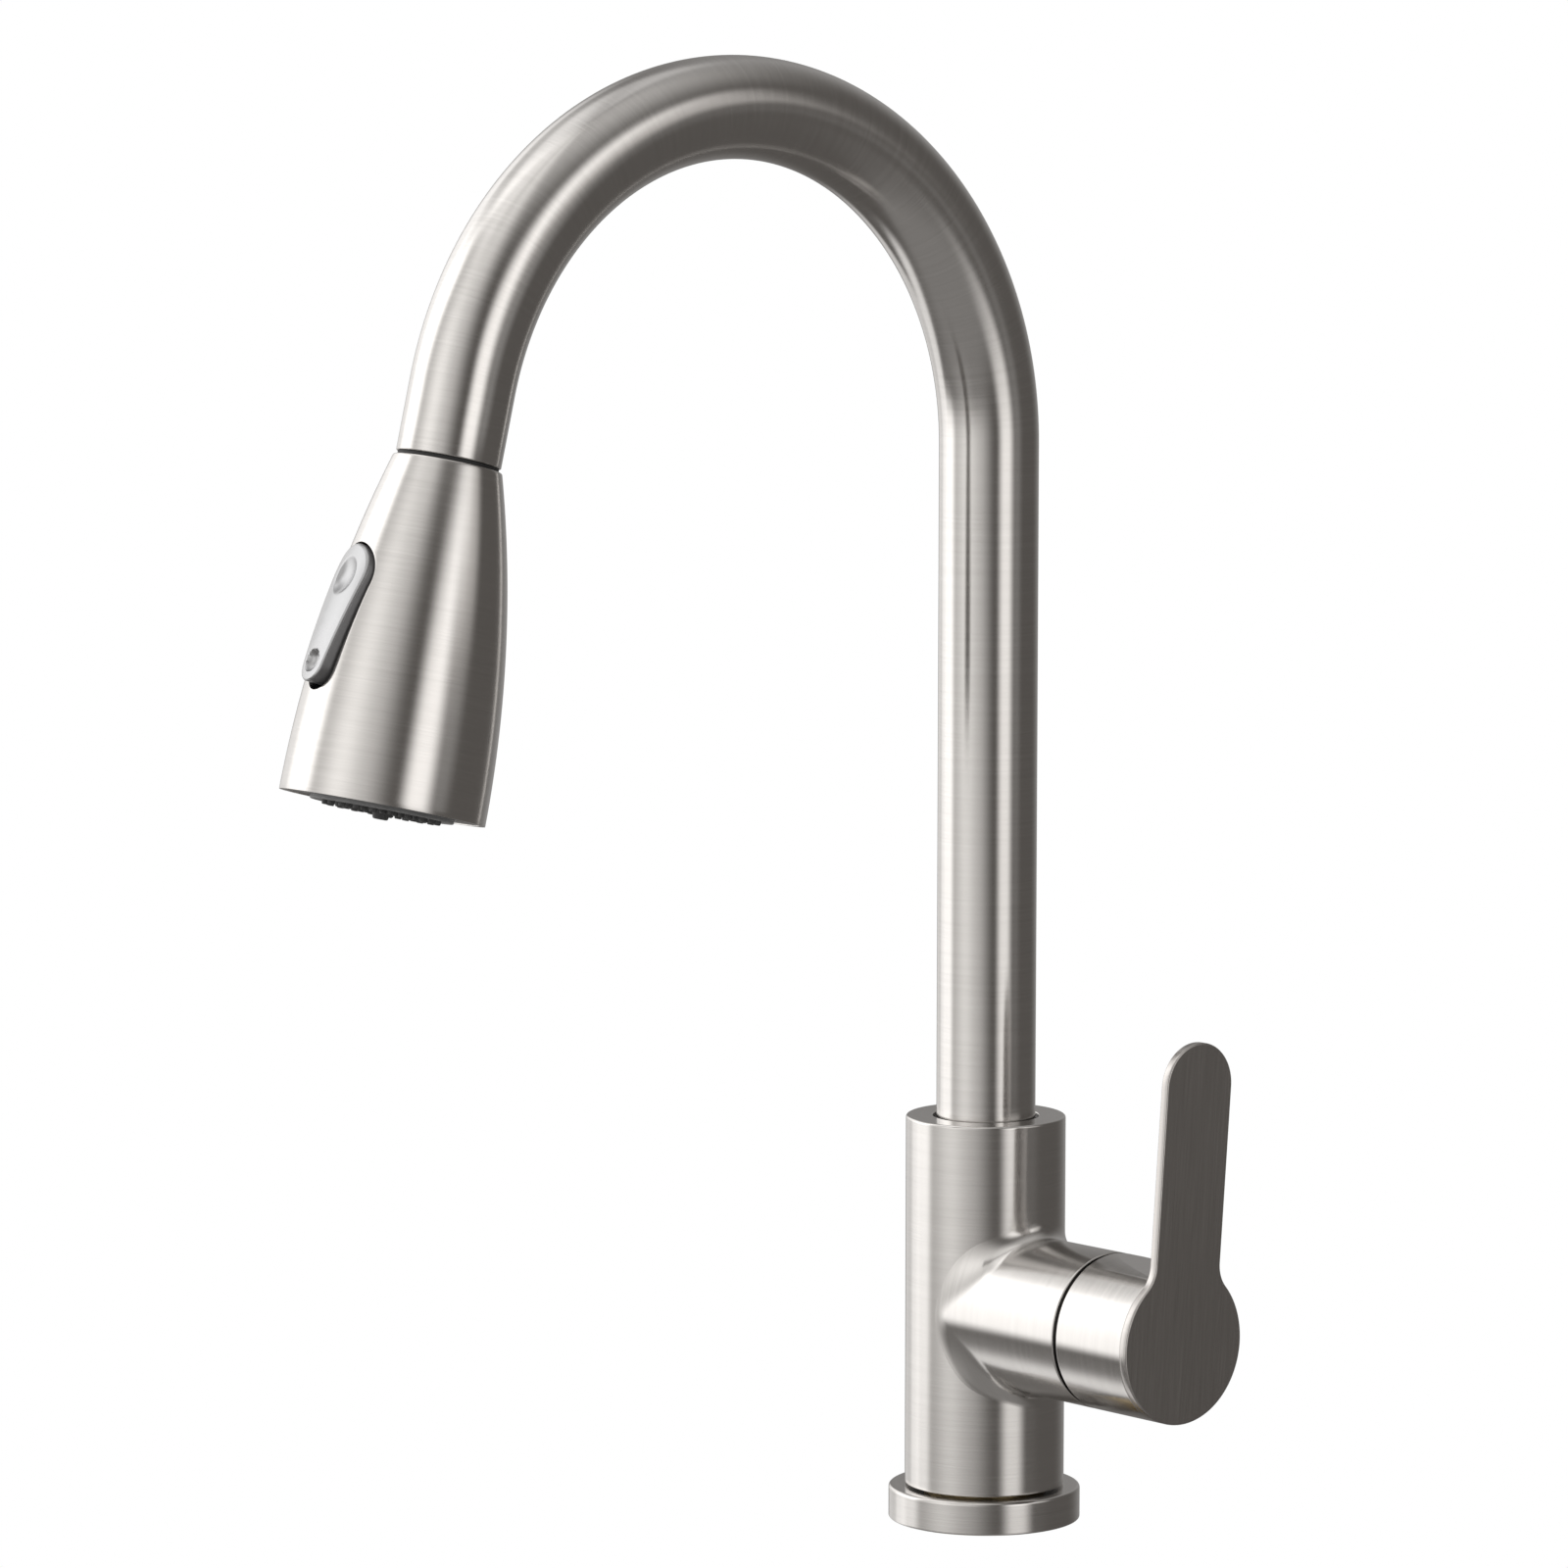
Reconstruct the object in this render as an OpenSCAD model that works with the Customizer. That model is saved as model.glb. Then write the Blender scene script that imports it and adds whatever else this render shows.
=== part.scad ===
// Pull-down kitchen mixer: single-lever body, swivelling gooseneck spout and a two-function spray head.
// Units are millimetres. +Z is up, the spout reaches toward -Y and the handle sits toward +X.
// Z = 0 is the counter top. Everything below it passes through or hangs under the counter.

/* [Body] */
// Outer diameter of the upright column
body_d = 45.2; // [44:0.2:48]
// Height of the column's top face above the counter
body_h = 115.5; // [112:0.5:140]
// Outer diameter of the foot flange
flange_d = 54.4; // [52:0.2:60]
// Height of the foot flange
flange_h = 9.3; // [8:0.1:11]
// Height of the handle boss axis above the counter
boss_z = 61; // [58:0.5:66]
// Thickness of the counter the nut clamps
counter_t = 30; // [20:1:34]

/* [Spout] */
// Outer diameter of the spout tube
tube_d = 28; // [27.6:0.1:28.4]
// Radius of the arch at the tube's centre line
arch_r = 95; // [85:1:110]
// Height at which the riser starts to bend
arch_z = 305.4; // [280:1:340]
// Lean of the outlet from the vertical
outlet_lean = 14; // [8:1:20]
// Length of the straight piece after the arch
outlet_straight = 19.5; // [16:0.5:30]

/* [Spray head] */
// Length of the spray head
head_len = 91.9; // [90:0.1:96]
// Diameter of the spray head at its top
head_top_d = 29; // [28.6:0.1:30]
// Diameter of the spray head at its face
head_face_d = 54.8; // [54.4:0.1:56]
// Turn of the spray head on its swivel, seen from above
head_turn_rest = 10; // [0:1:20]

/* [Handle] */
// Length of the lever from the boss axis to the tip
lever_reach = 84; // [70:1:100]
// Width of the lever blade
lever_w = 24.6; // [20:0.2:26]
// Lean of the lever toward the back
lever_lean = 4.4; // [0:0.2:10]

/* [Show] */
// Which piece to draw

/* [Hidden] */
$fn = 96;
eps = 0.02;

// Clearances: a running fit, a loose gap between pieces that move apart, and a seated joint
running = 0.05;
loose = 0.4;
seated = 0.04;

steel = [0.74, 0.73, 0.71];
brass = [0.78, 0.65, 0.36];
dark_steel = [0.45, 0.44, 0.43];
black_plastic = [0.09, 0.09, 0.09];
white_plastic = [0.86, 0.86, 0.84];
grey_plastic = [0.55, 0.56, 0.56];
rubber = [0.12, 0.12, 0.12];
ceramic = [0.93, 0.92, 0.88];
braid = [0.62, 0.63, 0.64];

body_r = body_d / 2;
flange_r = flange_d / 2;
tube_r = tube_d / 2;
tube_wall = 1.2;
tube_bore_r = tube_r - tube_wall;

// Column
seam_h = 0.7;
body_z0 = flange_h + seam_h;
body_edge = 0.5;
spigot_bore_r = tube_r + 1;
spigot_seat_z = 69.9;
hose_r = 5.5;
hose_ri = 3.6;
hose_way_r = 7;
gasket_h = 1.5;
gasket_ro = flange_r - 3;
gasket_ri = 19;

// Counter fixing
shank_r = 16.9;
shank_ri = 15.6;
shank_bottom = -60;
shank_top = 20;
rubber_washer_h = 3;
steel_washer_h = 2.5;
nut_h = 9.5;
washer_r = 24;
nut_corner_r = 23.5;

// Water ways
port_r = 3.4;
port_way_r = 2.8;
port_circle_r = 11.5;
port_depth = 12;
supply_angle = 75;
supply_ports = [[port_circle_r * cos(supply_angle), port_circle_r * sin(supply_angle)],
                [port_circle_r * cos(supply_angle), -port_circle_r * sin(supply_angle)]];
outlet_port = [port_circle_r, 0];
supply_rise = 5;
outlet_drop = 6.5;
outlet_tube_end = -85;
outlet_spigot_l = 17;
outlet_spigot_r = 4;

// Handle boss and cartridge, measured along +X from the column's axis
boss_r = 22;
boss_end = 51.6;
pivot_x = 38;
chamber_r = 17.8;
chamber_x = 16;
housing_r = 17.4;
housing_ri = 15.4;
housing_x0 = 18.2;
housing_floor = 2.2;
housing_lip_x = 39;
housing_x1 = 41;
housing_lip_r = 11;
disc_x = housing_x0 + housing_floor + 0.1;
fixed_disc_h = 3;
fixed_disc_r = 14.8;
moving_x = disc_x + fixed_disc_h + running;
moving_disc_h = 4;
moving_disc_r = 10.2;
water_port_r = 2.6;
water_port_y = 8.5;
rotor_x0 = 28;
rotor_x1 = 42;
rotor_r = housing_ri - loose;
rotor_neck_r = housing_lip_r - loose;
rotor_slot = 8.8;
stem_r = 4;
stem_tip_x = 70.5;
stem_neck_r = 2;
ball_r = 2.6;
ball_x = pivot_x - 10.4;
ball_pocket_r = ball_r + loose;
pin_r = 1.5;
pin_half = 9.3;
cap_nut_x0 = housing_x1 + 0.1;
cap_nut_x1 = 45.2;
cap_nut_ri = 13.4;
bonnet_r = 20;
bonnet_ri = 18.6;
dome_r = 25.6;
dome_t = 1.4;
dome_hole_r = 13.5;
dome_edge_r = 21.4;
bonnet_x0 = 46;

// Handle
hub_gap = 0.65;
hub_x0 = 53;
hub_r = boss_r;
blade_x0 = 78.4;
blade_t = 2.6;
blade_edge = 1.6;
disc_r = 20.4;
hub_flat = 19;
hub_flat_x = 58;
grub_r = 2.5;
grub_x = 68.3;
neck_r = 9;

// Spout socket
spigot_z0 = 70;
spigot_z1 = 96;
tube_z0 = 84;
spigot_r = 14;
spigot_ri = 9;
groove_z = 76;
groove_h = 4;
groove_r = 12.2;
lock_r = 3;
lock_tip_r = 1.5;
glide_z0 = 79.2;
glide_h = 4;

// The straight outlet starts inside the arch's wall, thinner by a hair so that no faces coincide
outlet_lap = 1.5;
outlet_step = 0.03;

// Outlet, the point where the spout tube ends
sweep = 180 - outlet_lean;
outlet_y = -(arch_r - arch_r * cos(sweep)) - outlet_straight * sin(outlet_lean);
outlet_z = arch_z + arch_r * sin(sweep) - outlet_straight * cos(outlet_lean);

// Spray head, in its own frame: z = 0 at the tube's end, the head below it
head_gap = 1;
head_top_r = head_top_d / 2;
head_face_r = head_face_d / 2;
head_z0 = -head_gap;
head_z1 = -head_gap - head_len;
head_curve = (pow(head_len, 2) + pow(head_face_r - head_top_r, 2)) / (2 * (head_face_r - head_top_r));
shell_t = 1.6;
shell_top_t = 2.4;
core_r = 10;
core_cup_r = 25;
core_cup_ri = 19.4;
core_cup_z = -80;
cup_end_z = head_z1 + 2.5;
inlet_neck_r = 7.4;
inlet_neck_z = 8;
inlet_bore_r = 5.2;
inlet_bore_z = -18;
inlet_way_r = 3;
diverter_way_z = -29;
insert_ri = 9.2;
ferrule_r = 7.8;
ferrule_z0 = 13;
ferrule_z1 = 31;
ferrule_seat_z = 13.8;
ferrule_flare_z = 19.3;
ferrule_mouth_r = 7.1;
ferrule_tail_r = 5.4;
ferrule_tail_z = 10;
ferrule_collar_r = 6.4;
ferrule_collar_z = 9;
ferrule_bore_r = 3.2;
nut_r = 8.4;
nut_z0 = 1;
nut_z1 = 12.2;

// Check valve in the head's inlet
valve_z0 = -17.9;
valve_z1 = -1.5;
valve_floor_z = -16;
valve_seat_z = -3;
valve_room_r = 4;
valve_seat_r = 2.4;
valve_guide_r = 1.6;
poppet_r = 3.4;
poppet_h = 1.5;
poppet_stem_r = 1;
poppet_stem_end = -16.6;
spring_turns = 4;
spring_coil_r = 2.7;
spring_wire_r = 0.25;

// Function rocker, set in the front of the head
rocker_big_r = 9.4;
rocker_small_r = 6.4;
rocker_top_z = -35.4;
rocker_low_z = -60;
rocker_gap = 1;
rocker_proud = 2;
rocker_axis_y = -15;
rocker_axis_z = -46.5;
rocker_rest = 3.4;
rocker_body_y = -17.6;
pocket_floor_y = -10.6;
pocket_wall = 1.4;
rocker_pin_r = 1.25;
rocker_pin_half = 9.2;
rocker_eye = 6;
rocker_eye_h = 8;
dimple_r = 9.4;
dimple_y = -32.4;
low_dimple_r = 3.4;
low_dimple_y = -28.9;
lug_w = 3;
lug_window_w = 4.4;
lug_window_h = 8;
lug_tip_y = -3;
plunger_r = 4;
plunger_groove_r = 2.3;
plunger_groove_h = 4.2;
plunger_half = 10;
// The lug moves the plunger with its own swing, so at rest the plunger sits low by as much
lug_arm = 11.5;
plunger_z = rocker_axis_z - lug_arm * sin(rocker_rest);

// Spray face
plate_r = 19.2;
plate_t = 4;
plate_z = head_z1 - 0.7;
nozzle_r = 0.95;
nozzle_hole_r = 1.05;
nozzle_proud = 1.1;
stream_r = 5;
stream_nub_r = 2;
stream_nub_proud = 2.4;
// Each ring of nozzles is its radius and how many it has
nozzle_rings = [[8, 8], [11.5, 14], [15, 20]];

// ---------------------------------------------------------------- helpers

module ring(ro, ri, z0, z1) {
  difference() {
    translate([0, 0, z0]) cylinder(r = ro, h = z1 - z0);
    translate([0, 0, z0 - 1]) cylinder(r = ri, h = z1 - z0 + 2);
  }
}

module rod(r, z0, z1) {
  translate([0, 0, z0]) cylinder(r = r, h = z1 - z0);
}

// A cylinder with a 45 degree chamfer round its top edge
module chamfered_rod(r, z0, z1, edge) {
  rotate_extrude()
    polygon([[0, z0], [r, z0], [r, z1 - edge], [r - edge, z1], [0, z1]]);
}

// Lays a shape drawn along +Z onto the boss axis, so its z becomes the distance along +X
module on_boss() {
  translate([0, 0, boss_z]) rotate([0, 90, 0]) children();
}

// The handle's pieces, leaned back with the lever
module with_lever() {
  translate([0, 0, boss_z]) rotate([-lever_lean, 0, 0]) translate([0, 0, -boss_z]) children();
}

// Moves the head's own frame to the spout's outlet
module at_outlet() {
  translate([0, outlet_y, outlet_z]) rotate([-outlet_lean, 0, 0]) children();
}

module at_head() {
  at_outlet() rotate([0, 0, -head_turn_rest]) children();
}

// A pipe along the spout's line: the riser from z0, the arch, and the outlet down to end_z in the outlet's frame
module spout_pipe(ro, ri, z0, end_z) {
  ring(ro, ri, z0, arch_z);
  translate([0, -arch_r, arch_z]) rotate([90, 0, 90]) {
    rotate_extrude(angle = sweep) difference() {
      translate([arch_r, 0]) circle(r = ro);
      translate([arch_r, 0]) circle(r = ri);
    }
    rotate([0, 0, sweep]) translate([arch_r, 0, 0]) rotate([-90, 0, 0])
      ring(ro - outlet_step, ri + outlet_step, -outlet_lap, outlet_straight - end_z);
  }
}

// The head's outline turned about its axis, grown outward by g
module head_solid(g, z_low, z_high) {
  rotate_extrude() intersection() {
    translate([head_face_r - head_curve, head_z1]) circle(r = head_curve + g, $fn = 720);
    translate([0, z_low]) square([head_face_r + 10, z_high - z_low]);
  }
}

// Two discs of different size joined by their outer tangents, as a prism of height h
module teardrop(grow, h) {
  big = rocker_big_r + grow;
  small = rocker_small_r + grow;
  lift = asin((big - small) / (rocker_top_z - rocker_low_z));
  translate([0, rocker_top_z, 0]) cylinder(r = big, h = h);
  translate([0, rocker_low_z, 0]) cylinder(r = small, h = h);
  linear_extrude(height = h) polygon([
    [big * cos(lift), rocker_top_z - big * sin(lift)],
    [small * cos(lift), rocker_low_z - small * sin(lift)],
    [-small * cos(lift), rocker_low_z - small * sin(lift)],
    [-big * cos(lift), rocker_top_z - big * sin(lift)]
  ]);
}

// The teardrop as a prism that runs outward through the head's front, from depth y0 to y1
module front_prism(grow, y0, y1) {
  translate([0, y0, 0]) rotate([90, 0, 0]) teardrop(grow, y0 - y1);
}

module with_rocker_rest() {
  translate([0, rocker_axis_y, rocker_axis_z]) rotate([-rocker_rest, 0, 0])
    translate([0, -rocker_axis_y, -rocker_axis_z]) children();
}

// The rocker's shaft, half as long as its second value on each side
module rocker_shaft(r, half) {
  translate([0, rocker_axis_y, rocker_axis_z]) rotate([0, 90, 0]) rod(r, -half, half);
}

// The slot the rocker's lug reaches through, from depth y0 to y1
module lug_window(y0, y1) {
  translate([-lug_window_w / 2, y0, rocker_axis_z - lug_window_h / 2])
    cube([lug_window_w, y1 - y0, lug_window_h]);
}

module nozzle_grid() {
  for (ring_i = nozzle_rings)
    for (i = [0 : ring_i[1] - 1])
      rotate([0, 0, i * 360 / ring_i[1]]) translate([ring_i[0], 0, 0]) children();
}

// ---------------------------------------------------------------- counter fixing

module base_gasket() {
  color(rubber) ring(gasket_ro, gasket_ri, 0, gasket_h);
}

module base_flange() {
  color(steel) difference() {
    chamfered_rod(flange_r, 0, flange_h, 0.5);
    rod(shank_r + 0.3, -1, flange_h + 1);
    rod(gasket_ro + seated, -1, gasket_h);
  }
}

module mounting_shank() {
  color(brass) ring(shank_r, shank_ri, shank_bottom, shank_top);
}

module counter_rubber_washer() {
  color(rubber) ring(washer_r, shank_r + 0.5, -counter_t - rubber_washer_h, -counter_t);
}

module counter_steel_washer() {
  z1 = -counter_t - rubber_washer_h;
  color(dark_steel) ring(washer_r, shank_r + 0.4, z1 - steel_washer_h, z1);
}

module mounting_nut() {
  z1 = -counter_t - rubber_washer_h - steel_washer_h;
  color(brass) difference() {
    translate([0, 0, z1 - nut_h]) cylinder(r = nut_corner_r, h = nut_h, $fn = 6);
    rod(shank_r + seated, z1 - nut_h - 1, z1 + 1);
  }
}

module outlet_tube() {
  color(brass) translate([outlet_port[0], outlet_port[1], 0]) difference() {
    union() {
      rod(port_r, outlet_tube_end, body_z0 + port_depth);
      rod(outlet_spigot_r, outlet_tube_end, outlet_tube_end + outlet_spigot_l);
    }
    rod(port_r - 1, outlet_tube_end - 1, body_z0 + port_depth + 1);
  }
}

// ---------------------------------------------------------------- body

module body_shell() {
  color(steel) difference() {
    union() {
      chamfered_rod(body_r, body_z0, body_h, body_edge);
      on_boss() chamfered_rod(boss_r, 0, boss_end, 0.3);
    }
    rod(spigot_bore_r, spigot_seat_z - 1.3, body_h + 1);
    rod(hose_way_r, body_z0 - 1, spigot_seat_z);
    ring(shank_r + seated, shank_ri - seated, body_z0 - 1, shank_top);
    on_boss() rod(chamber_r, chamber_x, boss_end + 1);
    on_boss() rod(bonnet_r + seated, bonnet_x0 - 0.1, boss_end + 1);
    supply_ways();
    outlet_way();
    translate([0, 0, groove_z]) rotate([-90, 0, 0]) rod(lock_r + seated, 10, body_r + 1);
  }
}

module supply_ways() {
  for (p = supply_ports) {
    translate([p[0], p[1], 0]) rod(port_r, body_z0 - 1, body_z0 + port_depth);
    translate([p[0], p[1], 0]) rod(port_way_r, body_z0, boss_z + supply_rise);
    translate([0, sign(p[1]) * (port_circle_r * sin(supply_angle) - 1), boss_z + supply_rise - port_way_r])
      rotate([0, 90, 0]) rod(port_way_r - 0.4, p[0], chamber_x + 1);
  }
}

module outlet_way() {
  translate([outlet_port[0], outlet_port[1], 0]) rod(port_r + seated, body_z0 - 1, body_z0 + port_depth);
  translate([outlet_port[0], outlet_port[1], 0]) rod(port_way_r, body_z0, boss_z - outlet_drop);
  translate([0, 0, boss_z - outlet_drop - port_way_r])
    rotate([0, 90, 0]) rod(port_way_r - 0.4, outlet_port[0], chamber_x + 1);
}

module upper_glide_ring() {
  color(black_plastic) ring(spigot_bore_r - seated, tube_r + running, body_h - 7, body_h - 1);
}

module thrust_washer() {
  color(black_plastic) ring(spigot_bore_r - 0.3, hose_way_r + 1, spigot_seat_z - 1.3, spigot_seat_z);
}

module spout_lock_screw() {
  color(dark_steel) translate([0, 0, groove_z]) rotate([-90, 0, 0]) difference() {
    union() {
      rod(lock_r, spigot_bore_r + 0.4, body_r - 0.8);
      rod(lock_tip_r, groove_r + loose, spigot_bore_r + 0.5);
    }
    translate([0, 0, body_r - 3.8]) cylinder(r = 1.7, h = 4, $fn = 6);
  }
}

// ---------------------------------------------------------------- cartridge

module cartridge_ports(r, x0, x1) {
  for (side = [-1, 1])
    on_boss() translate([-supply_rise + port_way_r, side * water_port_y, 0]) rod(r, x0, x1);
  on_boss() translate([outlet_drop + port_way_r, 0, 0]) rod(r, x0, x1);
}

module cartridge_seals() {
  color(rubber) difference() {
    cartridge_ports(water_port_r + 1.5, chamber_x, housing_x0);
    cartridge_ports(water_port_r, chamber_x - 1, housing_x0 + 1);
  }
}

module cartridge_housing() {
  color(white_plastic) difference() {
    on_boss() rod(housing_r, housing_x0, housing_x1);
    on_boss() rod(housing_ri, housing_x0 + housing_floor, housing_lip_x);
    on_boss() rod(housing_lip_r, housing_lip_x - 1, housing_x1 + 1);
    cartridge_ports(water_port_r, housing_x0 - 1, housing_x0 + housing_floor + 1);
  }
}

module fixed_disc() {
  color(ceramic) difference() {
    on_boss() rod(fixed_disc_r, disc_x, disc_x + fixed_disc_h);
    cartridge_ports(water_port_r, disc_x - 1, disc_x + fixed_disc_h + 1);
  }
}

module moving_disc() {
  color(ceramic) with_lever() difference() {
    on_boss() rod(moving_disc_r, moving_x, moving_x + moving_disc_h);
    on_boss() rod(ball_pocket_r, ball_x - ball_r - 0.25, moving_x + moving_disc_h + 1);
  }
}

module cartridge_rotor() {
  color(grey_plastic) with_lever() difference() {
    union() {
      on_boss() rod(rotor_r, rotor_x0, housing_lip_x - loose);
      on_boss() rod(rotor_neck_r, rotor_x0, rotor_x1);
    }
    translate([rotor_x0 - 1, -rotor_slot / 2, boss_z - 9])
      cube([rotor_x1 - rotor_x0 + 2, rotor_slot, 18]);
    translate([pivot_x, 0, boss_z]) rotate([90, 0, 0]) rod(pin_r + seated / 2, -pin_half, pin_half);
  }
}

module stem_pin() {
  color(dark_steel) with_lever()
    translate([pivot_x, 0, boss_z]) rotate([90, 0, 0]) rod(pin_r, -pin_half, pin_half);
}

module cartridge_stem() {
  stem_x0 = pivot_x - 6;
  color(brass) with_lever() difference() {
    on_boss() rotate_extrude() {
      translate([0, stem_x0]) square([stem_r, stem_tip_x - stem_x0]);
      translate([0, ball_x]) square([stem_neck_r, stem_x0 - ball_x + 1]);
      intersection() {
        translate([0, ball_x]) circle(r = ball_r);
        translate([0, ball_x - ball_r - 1]) square([ball_r + 1, 2 * ball_r + 2]);
      }
    }
    translate([pivot_x, 0, boss_z]) rotate([90, 0, 0]) rod(pin_r + running, -stem_r - 1, stem_r + 1);
  }
}

module cartridge_nut() {
  color(brass) difference() {
    on_boss() rod(chamber_r - seated, cap_nut_x0, cap_nut_x1);
    on_boss() rod(cap_nut_ri, cap_nut_x0 - 1, cap_nut_x1 + 1);
    for (a = [0 : 90 : 270])
      on_boss() rotate([0, 0, a + 45]) translate([cap_nut_ri - 1, -2, cap_nut_x1 - 2]) cube([10, 4, 3]);
  }
}

module bonnet_ring() {
  color(steel) on_boss() rotate_extrude() {
    translate([bonnet_ri, bonnet_x0]) square([bonnet_r - bonnet_ri, boss_end - bonnet_x0 + eps]);
    intersection() {
      difference() {
        translate([0, pivot_x]) circle(r = dome_r);
        difference() {
          translate([0, pivot_x]) circle(r = dome_r - dome_t);
          translate([bonnet_ri, boss_end]) square([bonnet_r, dome_t]);
        }
      }
      translate([dome_hole_r, boss_end]) square([dome_edge_r - dome_hole_r, dome_r]);
    }
  }
}

// ---------------------------------------------------------------- handle

module handle_hub() {
  color(steel) with_lever() difference() {
    on_boss() rod(hub_r, hub_x0, blade_x0);
    translate([pivot_x, 0, boss_z]) sphere(r = dome_r + hub_gap);
    translate([hub_flat_x, -hub_r, boss_z + hub_flat]) cube([blade_x0, 2 * hub_r, hub_r]);
    on_boss() rod(stem_r + seated, pivot_x, stem_tip_x + 0.2);
    translate([grub_x, 0, 0]) rod(grub_r + seated, boss_z - hub_r - 1, boss_z - stem_r + 1);
  }
}

// The blade's outline, drawn with x across the blade and y up it, the boss axis at the origin
module blade_outline(inset) {
  half = lever_w / 2 - inset;
  tip_y = lever_reach - lever_w / 2;
  disc = disc_r + blade_edge - inset;
  // The neck's fillet touches the disc and the blade's edge
  fillet = neck_r + inset;
  fillet_x = half + fillet;
  fillet_y = sqrt(pow(disc + fillet, 2) - pow(fillet_x, 2));
  circle(r = disc);
  translate([0, tip_y]) circle(r = half);
  translate([-half, 0]) square([2 * half, tip_y]);
  for (side = [-1, 1])
    difference() {
      polygon([[0, 0], [side * disc * fillet_x / (disc + fillet), disc * fillet_y / (disc + fillet)],
               [side * fillet_x, fillet_y], [side * half, fillet_y], [0, fillet_y]]);
      translate([side * fillet_x, fillet_y]) circle(r = fillet);
    }
}

module handle_lever() {
  color(steel) with_lever() translate([blade_x0, 0, boss_z]) rotate([90, 0, 90]) {
    linear_extrude(height = blade_t - blade_edge / 2) blade_outline(0);
    translate([0, 0, blade_t - blade_edge / 2 - eps]) linear_extrude(height = blade_edge / 2 + eps)
      blade_outline(blade_edge / 2);
  }
}

module grub_screw() {
  color(dark_steel) with_lever() translate([grub_x, 0, 0]) difference() {
    rod(grub_r, boss_z - hub_r + 1, boss_z - stem_r - seated);
    translate([0, 0, boss_z - hub_r]) cylinder(r = 1.4, h = 4, $fn = 6);
  }
}

// ---------------------------------------------------------------- spout

module spout_tube() {
  color(steel) spout_pipe(tube_r, tube_bore_r, tube_z0, 0);
}

module spout_spigot() {
  color(brass) difference() {
    union() {
      rod(spigot_r, spigot_z0, tube_z0 - seated);
      rod(tube_bore_r - seated, tube_z0 - 1, spigot_z1);
    }
    rod(spigot_ri, spigot_z0 - 1, spigot_z1 + 1);
    ring(spigot_r + 1, groove_r, groove_z - groove_h / 2, groove_z + groove_h / 2);
    ring(spigot_r + 1, spigot_r - 1.2, glide_z0, glide_z0 + glide_h);
  }
}

module lower_glide_ring() {
  color(white_plastic)
    ring(spigot_bore_r - running, spigot_r - 1.2 + seated, glide_z0 + seated, glide_z0 + glide_h - seated);
}

module tube_end_insert() {
  color(black_plastic) at_outlet() ring(tube_bore_r - seated, insert_ri, 1, 15);
}

module spray_hose() {
  color(braid) spout_pipe(hose_r, hose_ri, shank_bottom, ferrule_seat_z + 0.2);
}

module hose_ferrule() {
  color(steel) at_outlet() difference() {
    union() {
      rod(ferrule_r, ferrule_z0, ferrule_z1);
      rod(ferrule_tail_r, ferrule_tail_z, ferrule_z0 + 1);
      rod(ferrule_collar_r, ferrule_collar_z, ferrule_collar_z + 1.8);
    }
    rod(hose_r + running, ferrule_seat_z, ferrule_z1);
    rod(ferrule_mouth_r, ferrule_flare_z, ferrule_z1 + 1);
    rod(ferrule_bore_r, ferrule_collar_z - 1, ferrule_z1);
  }
}

// ---------------------------------------------------------------- spray head

module hose_nut() {
  color(brass) at_head() difference() {
    rod(nut_r, nut_z0, nut_z1);
    rod(inlet_neck_r + seated, nut_z0 - 1, nut_z1 - 1.2);
    rod(5.8, nut_z0, nut_z1 + 1);
  }
}

module hose_washer() {
  color(rubber) at_head() ring(inlet_neck_r - 0.2, 3.4, inlet_neck_z, inlet_neck_z + 0.9);
}

module docking_ring() {
  color(rubber) at_head() ring(head_top_r - 1, inlet_neck_r + 1.6, head_z0, -0.1);
}

module head_shell() {
  color(steel) at_head() difference() {
    head_solid(0, head_z1, head_z0);
    head_solid(-shell_t, head_z1 - 1, head_z0 - shell_top_t);
    rod(inlet_neck_r + 0.6, head_z0 - 5, 1);
    front_prism(0, rocker_axis_y, -head_face_r - 5);
  }
}

module head_core() {
  color(grey_plastic) at_head() difference() {
    union() {
      rod(inlet_neck_r, head_z0 - shell_top_t - 1, inlet_neck_z);
      rod(core_r, core_cup_z - 1, head_z0 - shell_top_t);
      rod(core_cup_r, cup_end_z, core_cup_z);
    }
    rod(core_cup_ri, cup_end_z - 1, core_cup_z - 2);
    rod(inlet_bore_r, inlet_bore_z, inlet_neck_z + 1);
    rod(inlet_way_r, diverter_way_z - 1, inlet_bore_z + 1);
    rod(plunger_r + loose, core_cup_z - 3, diverter_way_z);
    lug_window(-core_r - 1, 0);
  }
}

module check_valve_body() {
  color(white_plastic) at_head() difference() {
    rod(inlet_bore_r - seated, valve_z0, valve_z1);
    rod(valve_seat_r, valve_floor_z + 1, valve_z1 + 1);
    rod(valve_guide_r, valve_z0 - 1, valve_z1);
    rod(valve_room_r, valve_floor_z, valve_seat_z);
  }
}

module check_poppet() {
  color(rubber) at_head() {
    rod(poppet_r, valve_seat_z - 0.1 - poppet_h, valve_seat_z - 0.1);
    rod(poppet_stem_r, poppet_stem_end, valve_seat_z - poppet_h);
  }
}

module check_spring() {
  low = valve_floor_z + spring_wire_r;
  high = valve_seat_z - 0.1 - poppet_h - spring_wire_r;
  color(dark_steel) at_head() translate([0, 0, low])
    linear_extrude(height = high - low, twist = -360 * spring_turns, slices = 12 * spring_turns, $fn = 8)
      translate([spring_coil_r, 0]) circle(r = spring_wire_r, $fn = 8);
}

module diverter_plunger() {
  color(white_plastic) at_head() difference() {
    rod(plunger_r, plunger_z - plunger_half, plunger_z + plunger_half);
    ring(plunger_r + 1, plunger_groove_r, plunger_z - plunger_groove_h / 2, plunger_z + plunger_groove_h / 2);
  }
}

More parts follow.
